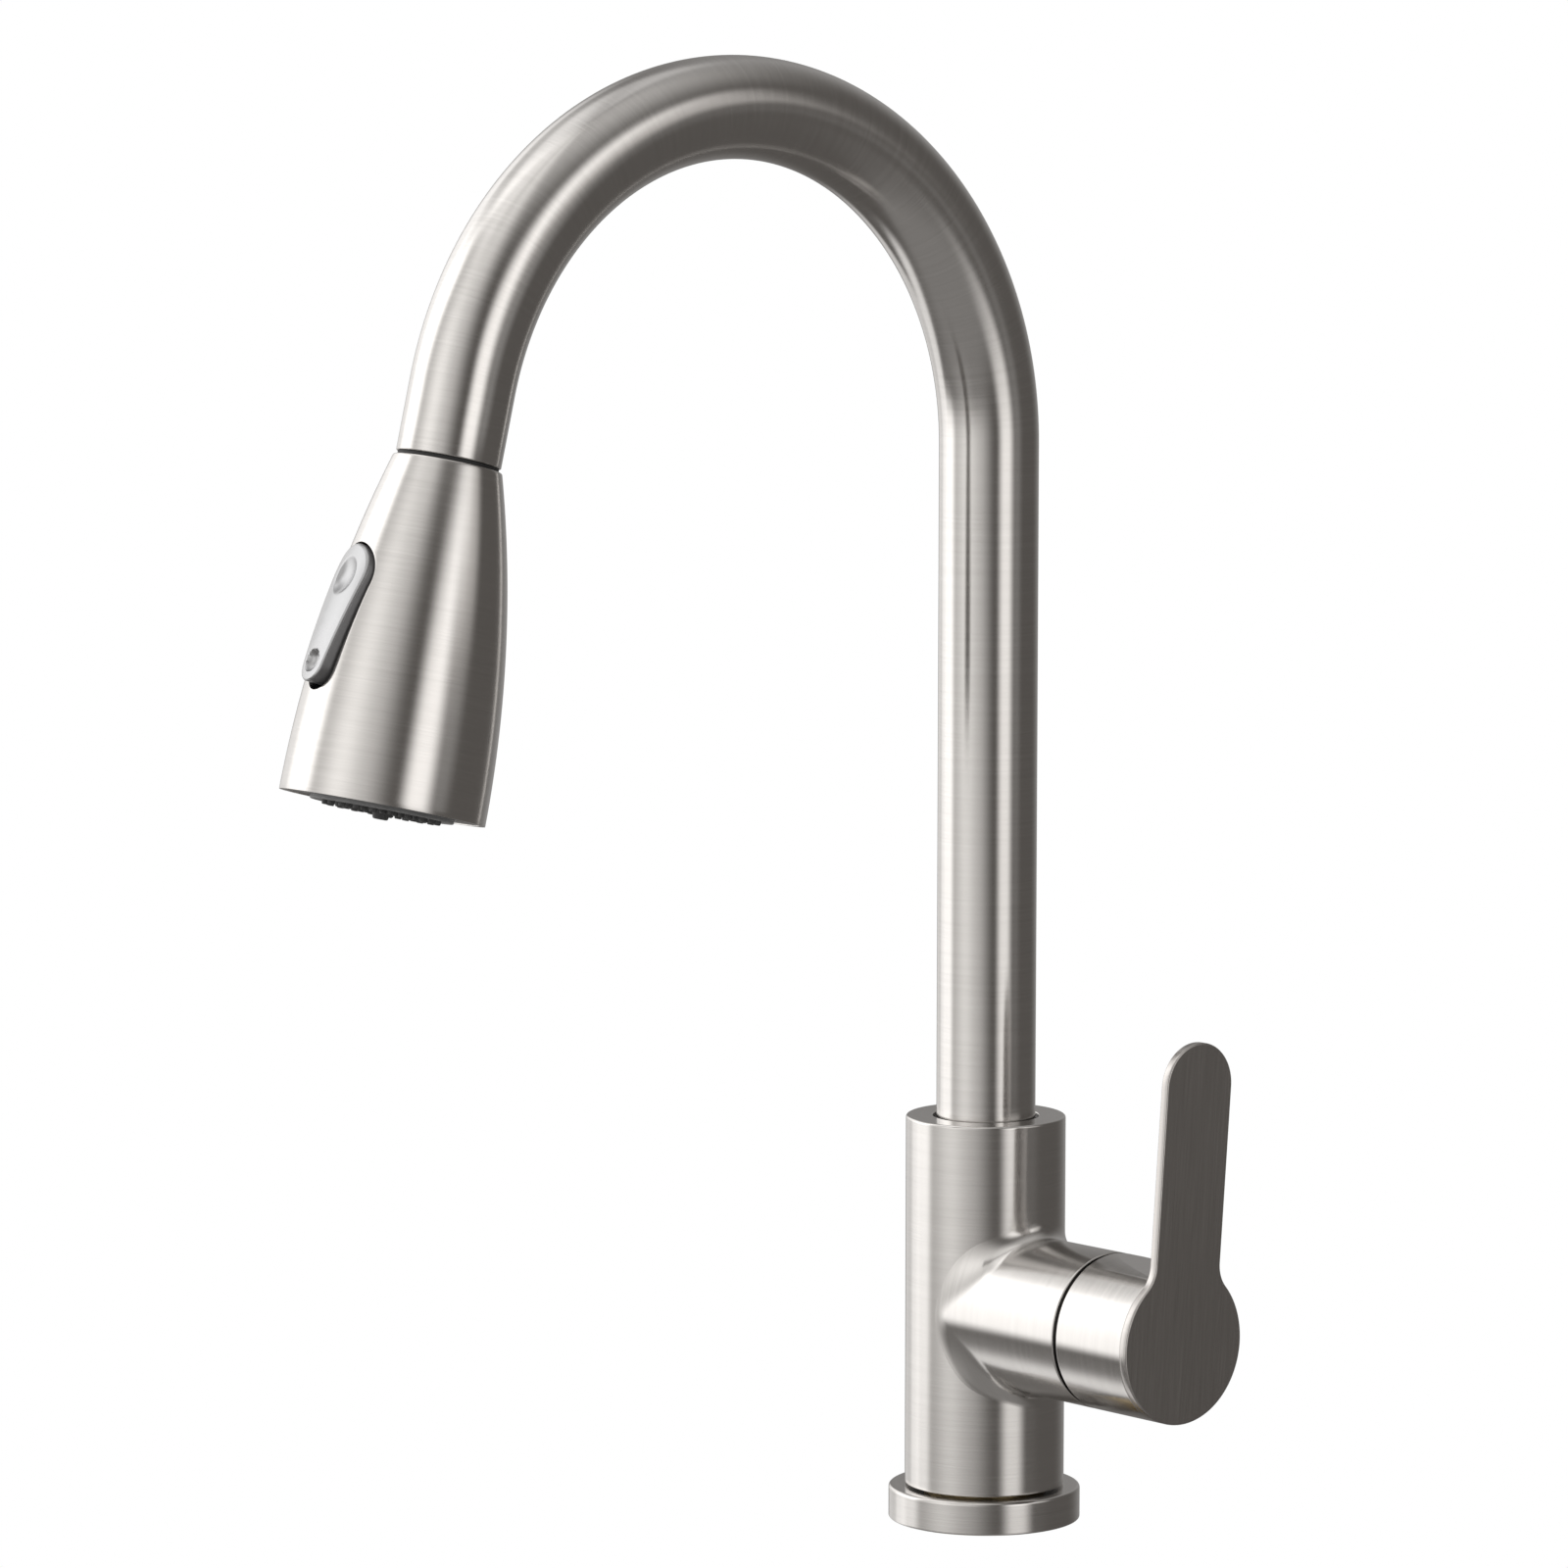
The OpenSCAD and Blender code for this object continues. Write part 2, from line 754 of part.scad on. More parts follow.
module rocker_pocket() {
  color(black_plastic) at_head() difference() {
    intersection() {
      front_prism(pocket_wall, pocket_floor_y, -head_face_r);
      head_solid(-shell_t - seated, head_z1, head_z0);
    }
    front_prism(0.05, pocket_floor_y - pocket_wall, -head_face_r - 1);
    lug_window(pocket_floor_y - 3, pocket_floor_y + 3);
    rocker_shaft(rocker_pin_r + seated / 2, rocker_pin_half + 0.2);
  }
}

module rocker_pin() {
  color(dark_steel) at_head()
    rocker_shaft(rocker_pin_r, rocker_pin_half);
}

module rocker_button() {
  color(grey_plastic) at_head() with_rocker_rest() difference() {
    union() {
      intersection() {
        front_prism(-rocker_gap, rocker_body_y, -head_face_r - 5);
        head_solid(rocker_proud, head_z1, head_z0);
      }
      translate([-rocker_eye / 2, rocker_body_y - 0.5, rocker_axis_z - rocker_eye_h / 2])
        cube([rocker_eye, rocker_axis_y + 2.4 - rocker_body_y + 0.5, rocker_eye_h]);
      translate([-lug_w / 2, rocker_axis_y, rocker_axis_z - lug_w / 2])
        cube([lug_w, lug_tip_y - rocker_axis_y, lug_w]);
    }
    rocker_shaft(rocker_pin_r + running, rocker_eye);
    translate([0, dimple_y, rocker_top_z + 0.6]) sphere(r = dimple_r);
    translate([0, low_dimple_y, rocker_low_z + 0.4]) sphere(r = low_dimple_r);
  }
}

module face_ring() {
  color(steel) at_head() ring(head_face_r - shell_t - 0.1, plate_r + 0.3, head_z1 + 0.2, cup_end_z);
}

module spray_plate() {
  color(grey_plastic) at_head() difference() {
    rod(plate_r, plate_z, plate_z + plate_t);
    rod(stream_r + seated, plate_z - 1, plate_z + plate_t + 1);
    nozzle_grid() rod(nozzle_hole_r, plate_z - 1, plate_z + plate_t + 1);
  }
}

module spray_nozzles() {
  color(rubber) at_head() difference() {
    union() {
      rod(plate_r - 0.4, plate_z + plate_t, plate_z + plate_t + 1.6);
      nozzle_grid() rod(nozzle_r, plate_z - nozzle_proud, plate_z + plate_t + 1);
    }
    rod(stream_r + seated, plate_z, plate_z + plate_t + 3);
  }
}

module stream_outlet() {
  color(grey_plastic) at_head() {
    rod(stream_r, plate_z - 0.5, plate_z + plate_t + 3);
    rod(stream_nub_r, plate_z - stream_nub_proud, plate_z);
  }
}

// ---------------------------------------------------------------- what is drawn

base_gasket();
base_flange();
body_shell();
upper_glide_ring();
thrust_washer();
spout_lock_screw();
mounting_shank();
counter_rubber_washer();
counter_steel_washer();
mounting_nut();
outlet_tube();
cartridge_housing();
cartridge_seals();
fixed_disc();
cartridge_nut();
bonnet_ring();
spout_tube();
spout_spigot();
lower_glide_ring();
tube_end_insert();
spray_hose();
hose_ferrule();
hose_nut();
hose_washer();
docking_ring();
head_shell();
head_core();
check_valve_body();
check_poppet();
check_spring();
rocker_pocket();
rocker_pin();
rocker_button();
diverter_plunger();
spray_plate();
spray_nozzles();
stream_outlet();
face_ring();
cartridge_rotor();
stem_pin();
moving_disc();
cartridge_stem();
handle_hub();
handle_lever();
grub_screw();
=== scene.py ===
"""Looks of a pull-down kitchen faucet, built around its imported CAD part.

The visible pieces are modelled here in millimetres and scaled to metres, in the part's own frame: +Z up,
the spout toward -Y, the handle toward +X, z = 0 on the counter. Pieces inside it keep their CAD meshes.
"""

import math
from collections import namedtuple

import bmesh
import bpy
from bmesh.types import BMEdge, BMVert
from mathutils import Matrix, Vector


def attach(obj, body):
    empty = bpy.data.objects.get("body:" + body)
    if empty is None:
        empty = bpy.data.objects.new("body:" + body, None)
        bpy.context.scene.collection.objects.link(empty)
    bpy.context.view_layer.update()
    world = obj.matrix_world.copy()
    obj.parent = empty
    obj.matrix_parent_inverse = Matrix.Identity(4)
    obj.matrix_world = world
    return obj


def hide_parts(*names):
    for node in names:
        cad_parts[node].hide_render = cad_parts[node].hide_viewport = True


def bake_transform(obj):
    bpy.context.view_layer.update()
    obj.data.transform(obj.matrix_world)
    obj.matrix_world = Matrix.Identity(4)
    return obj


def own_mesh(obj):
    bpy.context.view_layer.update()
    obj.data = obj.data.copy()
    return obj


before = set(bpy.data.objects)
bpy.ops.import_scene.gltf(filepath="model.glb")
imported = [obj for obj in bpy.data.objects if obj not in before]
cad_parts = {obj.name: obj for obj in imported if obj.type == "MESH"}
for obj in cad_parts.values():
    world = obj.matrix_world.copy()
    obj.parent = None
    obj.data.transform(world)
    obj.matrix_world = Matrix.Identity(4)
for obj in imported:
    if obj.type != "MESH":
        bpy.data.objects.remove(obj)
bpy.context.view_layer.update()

# ------------------------------------------------------------------ driving sizes, in millimetres

MM = 0.001
AROUND = 144
ROUND_STEPS = 5
HOLD = 0.12

body_r = 22.6
body_z0 = 10.0
body_top = 115.5
spout_way_r = 15.0
spout_way_z = 68.6
flange_r = 27.2
flange_h = 9.3
gasket_r = 24.2
shank_r = 16.9
shank_ri = 15.6
shank_low = -60.0
shank_top = 18.0
thread_pitch = 1.5
thread_depth = 0.55
rubber_washer_z = -30.0
steel_washer_z = -33.0
nut_z = -35.5
nut_h = 9.5
nut_corner_r = 23.5
washer_r = 24.0

boss_z = 61.0
boss_r = 22.0
boss_end = 51.6
boss_blend = 4.5
boss_side_blend = 22.0
bonnet_r = 20.0
bonnet_x0 = 46.0
chamber_r = 17.8
pivot_x = 38.0
dome_r = 25.6
dome_hole_r = 13.5
dome_t = 1.4
dome_edge_r = 20.6
seated = 0.04

hub_x0 = 53.0
hub_gap = 0.65
blade_x0 = 78.4
blade_t = 2.6
blade_w = 24.6
lever_reach = 84.0
disc_r = 22.0
neck_r = 9.0
lever_lean = 4.4

tube_r = 14.0
tube_ri = 12.8
tube_z0 = 84.0
arch_r = 95.0
arch_z = 305.4
outlet_lean = 14.0
outlet_straight = 19.5
sweep = math.radians(180 - outlet_lean)
hose_r = 5.5
ferrule_top = 13.9

head_z0 = -1.0
head_z1 = -92.9
head_top_r = 14.5
head_face_r = 27.4
head_turn = 10.0
head_wall = 1.6
head_hole_r = 8.0
head_rise = head_face_r - head_top_r
head_curve = ((head_z0 - head_z1) ** 2 + head_rise**2) / (2 * head_rise)

slot_big_r = 9.4
slot_small_r = 6.4
slot_top_z = -35.4
slot_low_z = -60.0
slot_centre_z = -47.0
button_gap = 1.0
button_proud = 2.0
button_back_y = -17.6
button_axis = Vector((0, -15.0, -46.5))
# The thumb dimple and the small one: height, depth and radius of each ball that hollows the face
DIMPLES = [(slot_top_z + 0.6, -32.0, 9.4), (slot_low_z + 0.4, -28.9, 3.4)]
button_rest = 3.4
# The pin's eye and the lug that drives the plunger: the middle's y and the size of each bar
BUTTON_BARS = [(-15.4, (6, 5.4, 8)), (-9, (3, 12, 3))]

plate_r = 19.2
plate_z = head_z1 - 0.7
nozzle_rings = [(8.0, 8), (11.5, 14), (15.0, 20)]
nozzle_r = 0.95
nozzle_proud = 1.1
stream_r = 5.0
stream_nub_r = 2.0
stream_nub_proud = 2.4
spring_r = 2.7
spring_wire_r = 0.25
spring_low = -15.7
spring_high = -4.9
spring_turns = 4

# ------------------------------------------------------------------ frames of the sub-assemblies

outlet_point = Vector(
    (
        0,
        -arch_r * (1 - math.cos(sweep)) - outlet_straight * math.sin(math.radians(outlet_lean)),
        arch_z + arch_r * math.sin(sweep) - outlet_straight * math.cos(math.radians(outlet_lean)),
    )
)
AT_OUTLET = Matrix.Translation(outlet_point) @ Matrix.Rotation(math.radians(-outlet_lean), 4, "X")
OUTWARD = AT_OUTLET.to_3x3() @ Vector((0, 0, -1))
AT_HEAD = AT_OUTLET @ Matrix.Rotation(math.radians(-head_turn), 4, "Z")
# Lays a shape turned about Z onto the boss axis: its z runs along +X and its x runs down
ON_BOSS = Matrix.Translation((0, 0, boss_z)) @ Matrix.Rotation(math.pi / 2, 4, "Y")
LEANED = (
    Matrix.Translation((0, 0, boss_z))
    @ Matrix.Rotation(math.radians(-lever_lean), 4, "X")
    @ Matrix.Translation((0, 0, -boss_z))
)

# ------------------------------------------------------------------ profiles and solids


def rounded(corners, closed=True):
    """The profile through corners (r, z, radius), with each corner rounded and its flats held flat."""
    points = []
    for i, (r, z, radius) in enumerate(corners):
        here = Vector((r, z))
        end_of_line = not closed and i in (0, len(corners) - 1)
        if radius == 0 or end_of_line:
            points.append(here)
            continue
        back = (Vector(corners[i - 1][:2]) - here).normalized()
        ahead = (Vector(corners[(i + 1) % len(corners)][:2]) - here).normalized()
        half = back.angle(ahead) / 2
        centre = here + (back + ahead).normalized() * radius / math.sin(half)
        reach = radius / math.tan(half)
        first = here + back * reach - centre
        last = here + ahead * reach - centre
        turn = math.pi - 2 * half
        points.append(centre + first + back * HOLD)
        for k in range(ROUND_STEPS + 1):
            t = k / ROUND_STEPS
            direction = (first * math.sin((1 - t) * turn) + last * math.sin(t * turn)) / math.sin(turn)
            points.append(centre + direction)
        points.append(centre + last + ahead * HOLD)
    return points


def lathe(profile, closed=True, steps=AROUND):
    """The profile (r, z) turned about Z."""
    bm = bmesh.new()
    verts = [bm.verts.new((r, 0, z)) for r, z in profile]
    edges = [bm.edges.new(pair) for pair in zip(verts, verts[1:])]
    if closed:
        edges.append(bm.edges.new((verts[-1], verts[0])))
    bmesh.ops.spin(
        bm,
        geom=verts + edges,
        cent=(0, 0, 0),
        axis=(0, 0, 1),
        angle=math.tau,
        steps=steps,
        use_merge=True,
    )
    bmesh.ops.remove_doubles(bm, verts=bm.verts, dist=1e-3)
    bmesh.ops.recalc_face_normals(bm, faces=bm.faces)
    return bm


def collar(ro, ri, z0, z1, edge, inner_edge=0.0):
    """A ring with rounded outer edges."""
    return lathe(
        rounded([(ri, z0, inner_edge), (ro, z0, edge), (ro, z1, edge), (ri, z1, inner_edge)])
    )


def placed(bm, *matrices):
    """Moves a shape by the matrices, the last one first."""
    whole = Matrix.Identity(4)
    for m in matrices:
        whole = whole @ m
    bmesh.ops.transform(bm, matrix=whole, verts=bm.verts)
    return bm


def only(kind, geom):
    """The elements of one kind among what an operator made."""
    return [g for g in geom if isinstance(g, kind)]


def edges_of(verts):
    """The edges that meet these points."""
    return list({e for v in verts for e in v.link_edges})


def circle_edges(bm, radius, segments, matrix):
    """An open circle laid by the matrix, as its edges."""
    made = bmesh.ops.create_circle(bm, segments=segments, radius=radius, cap_ends=False, matrix=matrix)
    return edges_of(made["verts"])


def drawn_out(bm, front, step):
    """Extrudes the front edges by a step, and gives the new front."""
    made = bmesh.ops.extrude_edge_only(bm, edges=front)["geom"]
    bmesh.ops.translate(bm, verts=only(BMVert, made), vec=step)
    return only(BMEdge, made)


def joined(*parts):
    """Puts several shapes into one."""
    whole = bmesh.new()
    for part in parts:
        mesh = bpy.data.meshes.new("part")
        part.to_mesh(mesh)
        part.free()
        whole.from_mesh(mesh)
        bpy.data.meshes.remove(mesh)
    return whole


# ------------------------------------------------------------------ grain: where the brushing runs


def turned_place(co):
    """Brushing round the Z axis. The last value steps across the grain."""
    return co.x, co.y, co.z - 0.6 * math.hypot(co.x, co.y)


def spout_place(co):
    """Brushing round the spout's line, with the distance along it."""
    if co.z <= arch_z and co.y > -arch_r:
        return co.x, co.y, co.z
    angle = math.atan2(co.z - arch_z, co.y + arch_r)
    if angle < 0:
        angle += math.tau
    if angle <= sweep + 1e-6:
        out = math.hypot(co.z - arch_z, co.y + arch_r) - arch_r
        return co.x, out, arch_z + arch_r * angle
    local = AT_OUTLET.inverted() @ co
    return local.x, -local.y, arch_z + arch_r * sweep + outlet_straight - local.z


def with_grain(bm, place, linear=False):
    """Writes the grain's frame on each point, and a UV map whose U runs along the grain."""
    layer = bm.verts.layers.float_vector.new("grain")
    uv = bm.loops.layers.uv.new("along")
    for v in bm.verts:
        v[layer] = place(v.co)
    for face in bm.faces:
        middle = place(face.calc_center_median())
        toward = math.atan2(middle[1], middle[0])
        for loop in face.loops:
            a, b, s = loop.vert[layer]
            if linear:
                loop[uv].uv = (a * MM, s * MM)
                continue
            turn = math.atan2(b, a) - toward
            turn = (turn + math.pi) % math.tau - math.pi
            loop[uv].uv = ((toward + turn) * tube_r * MM, s * MM)
    return bm


# ------------------------------------------------------------------ pieces

SHARP = math.radians(34)


def piece(name, bm, body, look, slot_name, *stands_for):
    """Makes an object of the shape, scaled to metres, riding on its body."""
    placed(bm, Matrix.Scale(MM, 4))
    for edge in bm.edges:
        if len(edge.link_faces) == 2:
            edge.smooth = edge.calc_face_angle(0) < SHARP
    for face in bm.faces:
        face.smooth = True
    mesh = bpy.data.meshes.new(name)
    bm.to_mesh(mesh)
    bm.free()
    obj = bpy.data.objects.new(name, mesh)
    bpy.context.scene.collection.objects.link(obj)
    obj.data.materials.append(look)
    if body:
        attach(obj, body)
    if stands_for:
        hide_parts(*stands_for)
    return obj


# ------------------------------------------------------------------ materials


class Look:
    """A material under construction: small helpers round its node tree."""

    def __init__(self, name):
        self.material = bpy.data.materials.new(name)
        self.material.use_nodes = True
        self.tree = self.material.node_tree
        self.shader = self.tree.nodes["Principled BSDF"]

    def node(self, kind, **settings):
        made = self.tree.nodes.new(kind)
        for key, value in settings.items():
            setattr(made, key, value)
        return made

    def plug(self, socket, value):
        if isinstance(value, bpy.types.NodeSocket):
            self.tree.links.new(value, socket)
        else:
            socket.default_value = value

    def coordinates(self):
        return self.node("ShaderNodeTexCoord").outputs["Object"]

    def stretched(self, vector, scale):
        made = self.node("ShaderNodeMapping")
        self.plug(made.inputs["Vector"], vector)
        self.plug(made.inputs["Scale"], scale)
        return made.outputs["Vector"]

    def noise(self, vector, scale, detail=3.0, roughness=0.5):
        made = self.node("ShaderNodeTexNoise")
        self.plug(made.inputs["Vector"], vector)
        self.plug(made.inputs["Scale"], scale)
        self.plug(made.inputs["Detail"], detail)
        self.plug(made.inputs["Roughness"], roughness)
        return made.outputs["Fac"]

    def ranged(self, value, low, high, source_low=0.3, source_high=0.7):
        made = self.node("ShaderNodeMapRange")
        self.plug(made.inputs["Value"], value)
        self.plug(made.inputs["From Min"], source_low)
        self.plug(made.inputs["From Max"], source_high)
        self.plug(made.inputs["To Min"], low)
        self.plug(made.inputs["To Max"], high)
        return made.outputs["Result"]

    def mixed(self, factor, first, second):
        made = self.node("ShaderNodeMix", data_type="RGBA")
        self.plug(made.inputs[0], factor)
        self.plug(made.inputs[6], (*first, 1))
        self.plug(made.inputs[7], (*second, 1))
        return made.outputs[2]

    def added(self, first, second, share):
        """first plus share times second."""
        made = self.node("ShaderNodeMath", operation="MULTIPLY_ADD")
        self.plug(made.inputs[0], second)
        self.plug(made.inputs[1], share)
        self.plug(made.inputs[2], first)
        return made.outputs[0]

    def bumped(self, height, strength, distance):
        made = self.node("ShaderNodeBump")
        self.plug(made.inputs["Height"], height)
        self.plug(made.inputs["Strength"], strength)
        self.plug(made.inputs["Distance"], distance)
        self.plug(self.shader.inputs["Normal"], made.outputs["Normal"])

    def surface(self, **inputs):
        for key, value in inputs.items():
            self.plug(self.shader.inputs[key.replace("_", " ")], value)
        return self.material


def brushed_steel(name, light, dark, rough, grain=1.0):
    """Satin stainless steel. Fine lines run along the piece's own grain, with a slow unevenness over it."""
    look = Look(name)
    place = look.node("ShaderNodeAttribute", attribute_name="grain").outputs["Vector"]
    fine = look.noise(look.stretched(place, (0.045, 0.045, 2.6)), 1.0, 5.0, 0.62)
    streaks = look.noise(look.stretched(place, (0.02, 0.02, 0.55)), 1.0, 3.0, 0.55)
    smudge = look.noise(look.stretched(place, (0.03, 0.03, 0.03)), 1.0, 2.0, 0.5)
    lines = look.added(fine, streaks, 0.55)
    tangent = look.node("ShaderNodeTangent", direction_type="UV_MAP", uv_map="along")
    look.plug(look.shader.inputs["Tangent"], tangent.outputs["Tangent"])
    look.bumped(lines, 0.1 * grain, 0.00005)
    return look.surface(
        Base_Color=look.mixed(look.ranged(lines, 0.0, 1.0, 0.5, 1.1), dark, light),
        Roughness=look.added(look.ranged(fine, rough - 0.02, rough + 0.02), smudge, 0.04),
        Metallic=1.0,
        Anisotropic=0.6,
        Anisotropic_Rotation=0.25,
    )


def turned_metal(name, light, dark, rough, stretch=(60.0, 60.0, 1500.0)):
    """Machined metal of the inner pieces, with tool lines across the axis and dull patches."""
    look = Look(name)
    spot = look.coordinates()
    lines = look.noise(look.stretched(spot, stretch), 1.0, 4.0, 0.6)
    patches = look.noise(spot, 140.0, 4.0, 0.6)
    look.bumped(lines, 0.35, 0.0001)
    return look.surface(
        Base_Color=look.mixed(look.ranged(patches, 0.0, 1.0), dark, light),
        Roughness=look.added(look.ranged(patches, rough, rough + 0.12), lines, 0.06),
        Metallic=1.0,
    )


def plastic(name, light, dark, rough, grain_scale=1800.0, grain_depth=0.00006, metallic=0.0):
    """Moulded plastic or rubber: a fine even grain, and slow changes of tone and gloss."""
    look = Look(name)
    spot = look.coordinates()
    grain = look.noise(spot, grain_scale, 3.0, 0.6)
    tone = look.noise(spot, 90.0, 3.0, 0.55)
    look.bumped(grain, 0.5, grain_depth)
    return look.surface(
        Base_Color=look.mixed(look.ranged(tone, 0.0, 1.0), dark, light),
        Roughness=look.added(look.ranged(tone, rough - 0.04, rough + 0.05), grain, 0.06),
        Metallic=metallic,
    )


def braided(name):
    """Nylon braid: two sets of yarns crossing on the diagonal."""
    look = Look(name)
    place = look.node("ShaderNodeUVMap", uv_map="along").outputs["UV"]
    parts = look.node("ShaderNodeSeparateXYZ")
    look.plug(parts.inputs["Vector"], place)
    yarns = []
    for way in (1.0, -1.0):
        slant = look.added(parts.outputs["Y"], parts.outputs["X"], way)
        turned = look.node("ShaderNodeMath", operation="MULTIPLY")
        look.plug(turned.inputs[0], slant)
        look.plug(turned.inputs[1], math.tau / 0.0022)
        wave = look.node("ShaderNodeMath", operation="SINE")
        look.plug(wave.inputs[0], turned.outputs[0])
        yarns.append(wave.outputs[0])
    woven = look.node("ShaderNodeMath", operation="MAXIMUM")
    look.plug(woven.inputs[0], yarns[0])
    look.plug(woven.inputs[1], yarns[1])
    fibre = look.noise(look.coordinates(), 2500.0, 3.0, 0.6)
    height = look.added(woven.outputs[0], fibre, 0.4)
    look.bumped(height, 0.8, 0.0003)
    return look.surface(
        Base_Color=look.mixed(
            look.ranged(height, 0.0, 1.0, -0.6, 1.3), (0.03, 0.03, 0.032), (0.22, 0.225, 0.235)
        ),
        Roughness=look.ranged(fibre, 0.55, 0.75),
    )


STEEL = brushed_steel("brushed_steel", (0.74, 0.725, 0.71), (0.66, 0.645, 0.63), 0.16)
LEVER_STEEL = brushed_steel("lever_steel", (0.60, 0.58, 0.565), (0.52, 0.50, 0.485), 0.22, 0.7)
# Painted shade: a near-black copy of the brushed steel for the bonnet ring's edge, where the seam between
# boss and hub lies in shade.
SEAM_SHADE_STEEL = brushed_steel("painted_seam_shade", (0.10, 0.098, 0.095), (0.06, 0.058, 0.056), 0.4)
RING_STEEL = brushed_steel("ring_steel", (0.42, 0.415, 0.41), (0.34, 0.335, 0.33), 0.42)
THREADED = turned_metal("threaded_brass", (0.72, 0.58, 0.33), (0.52, 0.40, 0.21), 0.3)
BRASS = turned_metal("turned_brass", (0.74, 0.60, 0.34), (0.55, 0.43, 0.23), 0.26)
DARK_STEEL = turned_metal("plain_steel", (0.47, 0.46, 0.45), (0.34, 0.335, 0.33), 0.32)
RUBBER = plastic("black_rubber", (0.035, 0.035, 0.036), (0.018, 0.018, 0.019), 0.62, 2400.0, 0.00008)
BLACK = plastic("black_plastic", (0.03, 0.03, 0.032), (0.016, 0.016, 0.017), 0.42)
WHITE = plastic("white_plastic", (0.80, 0.80, 0.77), (0.70, 0.70, 0.67), 0.45)
GREY = plastic("grey_plastic", (0.25, 0.255, 0.26), (0.17, 0.175, 0.18), 0.4)
BUTTON = plastic("button_plastic", (0.47, 0.475, 0.485), (0.41, 0.415, 0.425), 0.22, 2600.0, 0.00002, 0.95)
# The switch's side wall: a darker grey, partly its own bare moulding and partly painted shade of the gap
# round the switch.
BUTTON_WALL_AND_SHADE = plastic("button_wall_and_painted_shade", (0.24, 0.24, 0.245), (0.17, 0.17, 0.175), 0.35, 2600.0, 0.00003, 0.6)
NUB = plastic("nozzle_rubber", (0.075, 0.077, 0.08), (0.04, 0.041, 0.043), 0.5, 2400.0, 0.00006)
CERAMIC = plastic("ceramic", (0.86, 0.85, 0.80), (0.80, 0.79, 0.74), 0.22, 3000.0, 0.00001)
BRAID = braided("nylon_braid")

# ------------------------------------------------------------------ counter fixing

flange = lathe(
    rounded(
        [
            (shank_r + 0.3, 0, 0),
            (gasket_r - 0.4, 0, 0),
            (flange_r, 0, 0.4),
            (flange_r, flange_h, 0.9),
            (shank_r + 0.3, flange_h, 0.3),
        ]
    )
)
piece(
    "base_flange_v", with_grain(flange, turned_place), "body", STEEL, "brushed_steel", "base_flange"
)


def screw_thread(root_r, crest_r, z0, turns, pitch):
    """A helical thread: one tooth's line spun up round the axis."""
    steps_a_turn = 48
    bm = bmesh.new()
    tooth = [(root_r, 0.0), (root_r, 0.2 * pitch), (crest_r, 0.55 * pitch), (crest_r, 0.65 * pitch)]
    tooth.append((root_r, pitch))
    verts = [bm.verts.new((r, 0, z0 + z)) for r, z in tooth]
    edges = [bm.edges.new(pair) for pair in zip(verts, verts[1:])]
    bmesh.ops.spin(
        bm,
        geom=verts + edges,
        cent=(0, 0, 0),
        axis=(0, 0, 1),
        dvec=(0, 0, pitch / steps_a_turn),
        angle=math.tau * turns,
        steps=int(steps_a_turn * turns),
    )
    bmesh.ops.remove_doubles(bm, verts=bm.verts, dist=1e-3)
    bmesh.ops.recalc_face_normals(bm, faces=bm.faces)
    return bm


def threaded_shank():
    """The hollow shank with its thread from the lower end up to the counter."""
    root = shank_r - thread_depth
    turns = (-shank_low - 4) / thread_pitch
    thread = screw_thread(root - 0.05, shank_r, shank_low + 1.2, turns, thread_pitch)
    sleeve = lathe(
        rounded(
            [
                (shank_ri, shank_low, 0.2),
                (root, shank_low, 0.3),
                (root, -1.0, 0),
                (shank_r, 0.0, 0),
                (shank_r, shank_top, 0.2),
                (shank_ri, shank_top, 0.2),
            ]
        )
    )
    return joined(sleeve, thread)


piece("mounting_shank_v", threaded_shank(), "body", THREADED, "brass", "mounting_shank")

washer = collar(washer_r, shank_r + 0.5, rubber_washer_z - 3, rubber_washer_z, 0.6, 0.3)
piece("rubber_washer_v", washer, "body", RUBBER, "rubber", "counter_rubber_washer")

plate = collar(washer_r, shank_r + 0.4, steel_washer_z - 2.5, steel_washer_z, 0.3, 0.2)
piece("steel_washer_v", plate, "body", DARK_STEEL, "hidden_steel", "counter_steel_washer")


def hex_nut(corner_r, bore_r, z0, z1, chamfer):
    """A hexagon nut, its corners cut by a cone at each end and its bore open."""
    bm = bmesh.new()
    outer = bmesh.ops.create_circle(bm, segments=6, radius=corner_r, cap_ends=False)["verts"]
    bmesh.ops.subdivide_edges(bm, edges=edges_of(outer), cuts=11)
    rim = list(bm.verts)
    flat_r = corner_r * math.cos(math.pi / 6)
    levels = [(z0, True), (z0 + chamfer, False), (z1 - chamfer, False), (z1, True)]
    rings = []
    for z, cut in levels:
        ring = only(BMVert, bmesh.ops.duplicate(bm, geom=rim + edges_of(rim))["geom"])
        for v in ring:
            r = math.hypot(v.co.x, v.co.y)
            limit = flat_r - 0.2 if cut else r
            drop = max(0.0, r - flat_r) / (corner_r - flat_r) * chamfer
            if cut:
                v.co.xy = v.co.xy * (limit / r)
            elif z < (z0 + z1) / 2:
                v.co.z = drop
            else:
                v.co.z = -drop
            v.co.z += z if cut else (z0 if z < (z0 + z1) / 2 else z1)
        rings.append(edges_of(ring))
    bmesh.ops.delete(bm, geom=rim, context="VERTS")
    lead = 0.6
    mouth_r = bore_r + lead
    for z, r in ((z1, mouth_r), (z1 - lead, bore_r), (z0 + lead, bore_r), (z0, mouth_r)):
        rings.append(circle_edges(bm, r, 72, Matrix.Translation((0, 0, z))))
    loops = rings + [rings[0]]
    for first, second in zip(loops, loops[1:]):
        bmesh.ops.bridge_loops(bm, edges=first + second)
    bmesh.ops.recalc_face_normals(bm, faces=bm.faces)
    return bm


nut = hex_nut(nut_corner_r, shank_r, nut_z - nut_h, nut_z, 1.6)
piece("mounting_nut_v", nut, "body", BRASS, "brass", "mounting_nut")

# ------------------------------------------------------------------ body with its handle boss


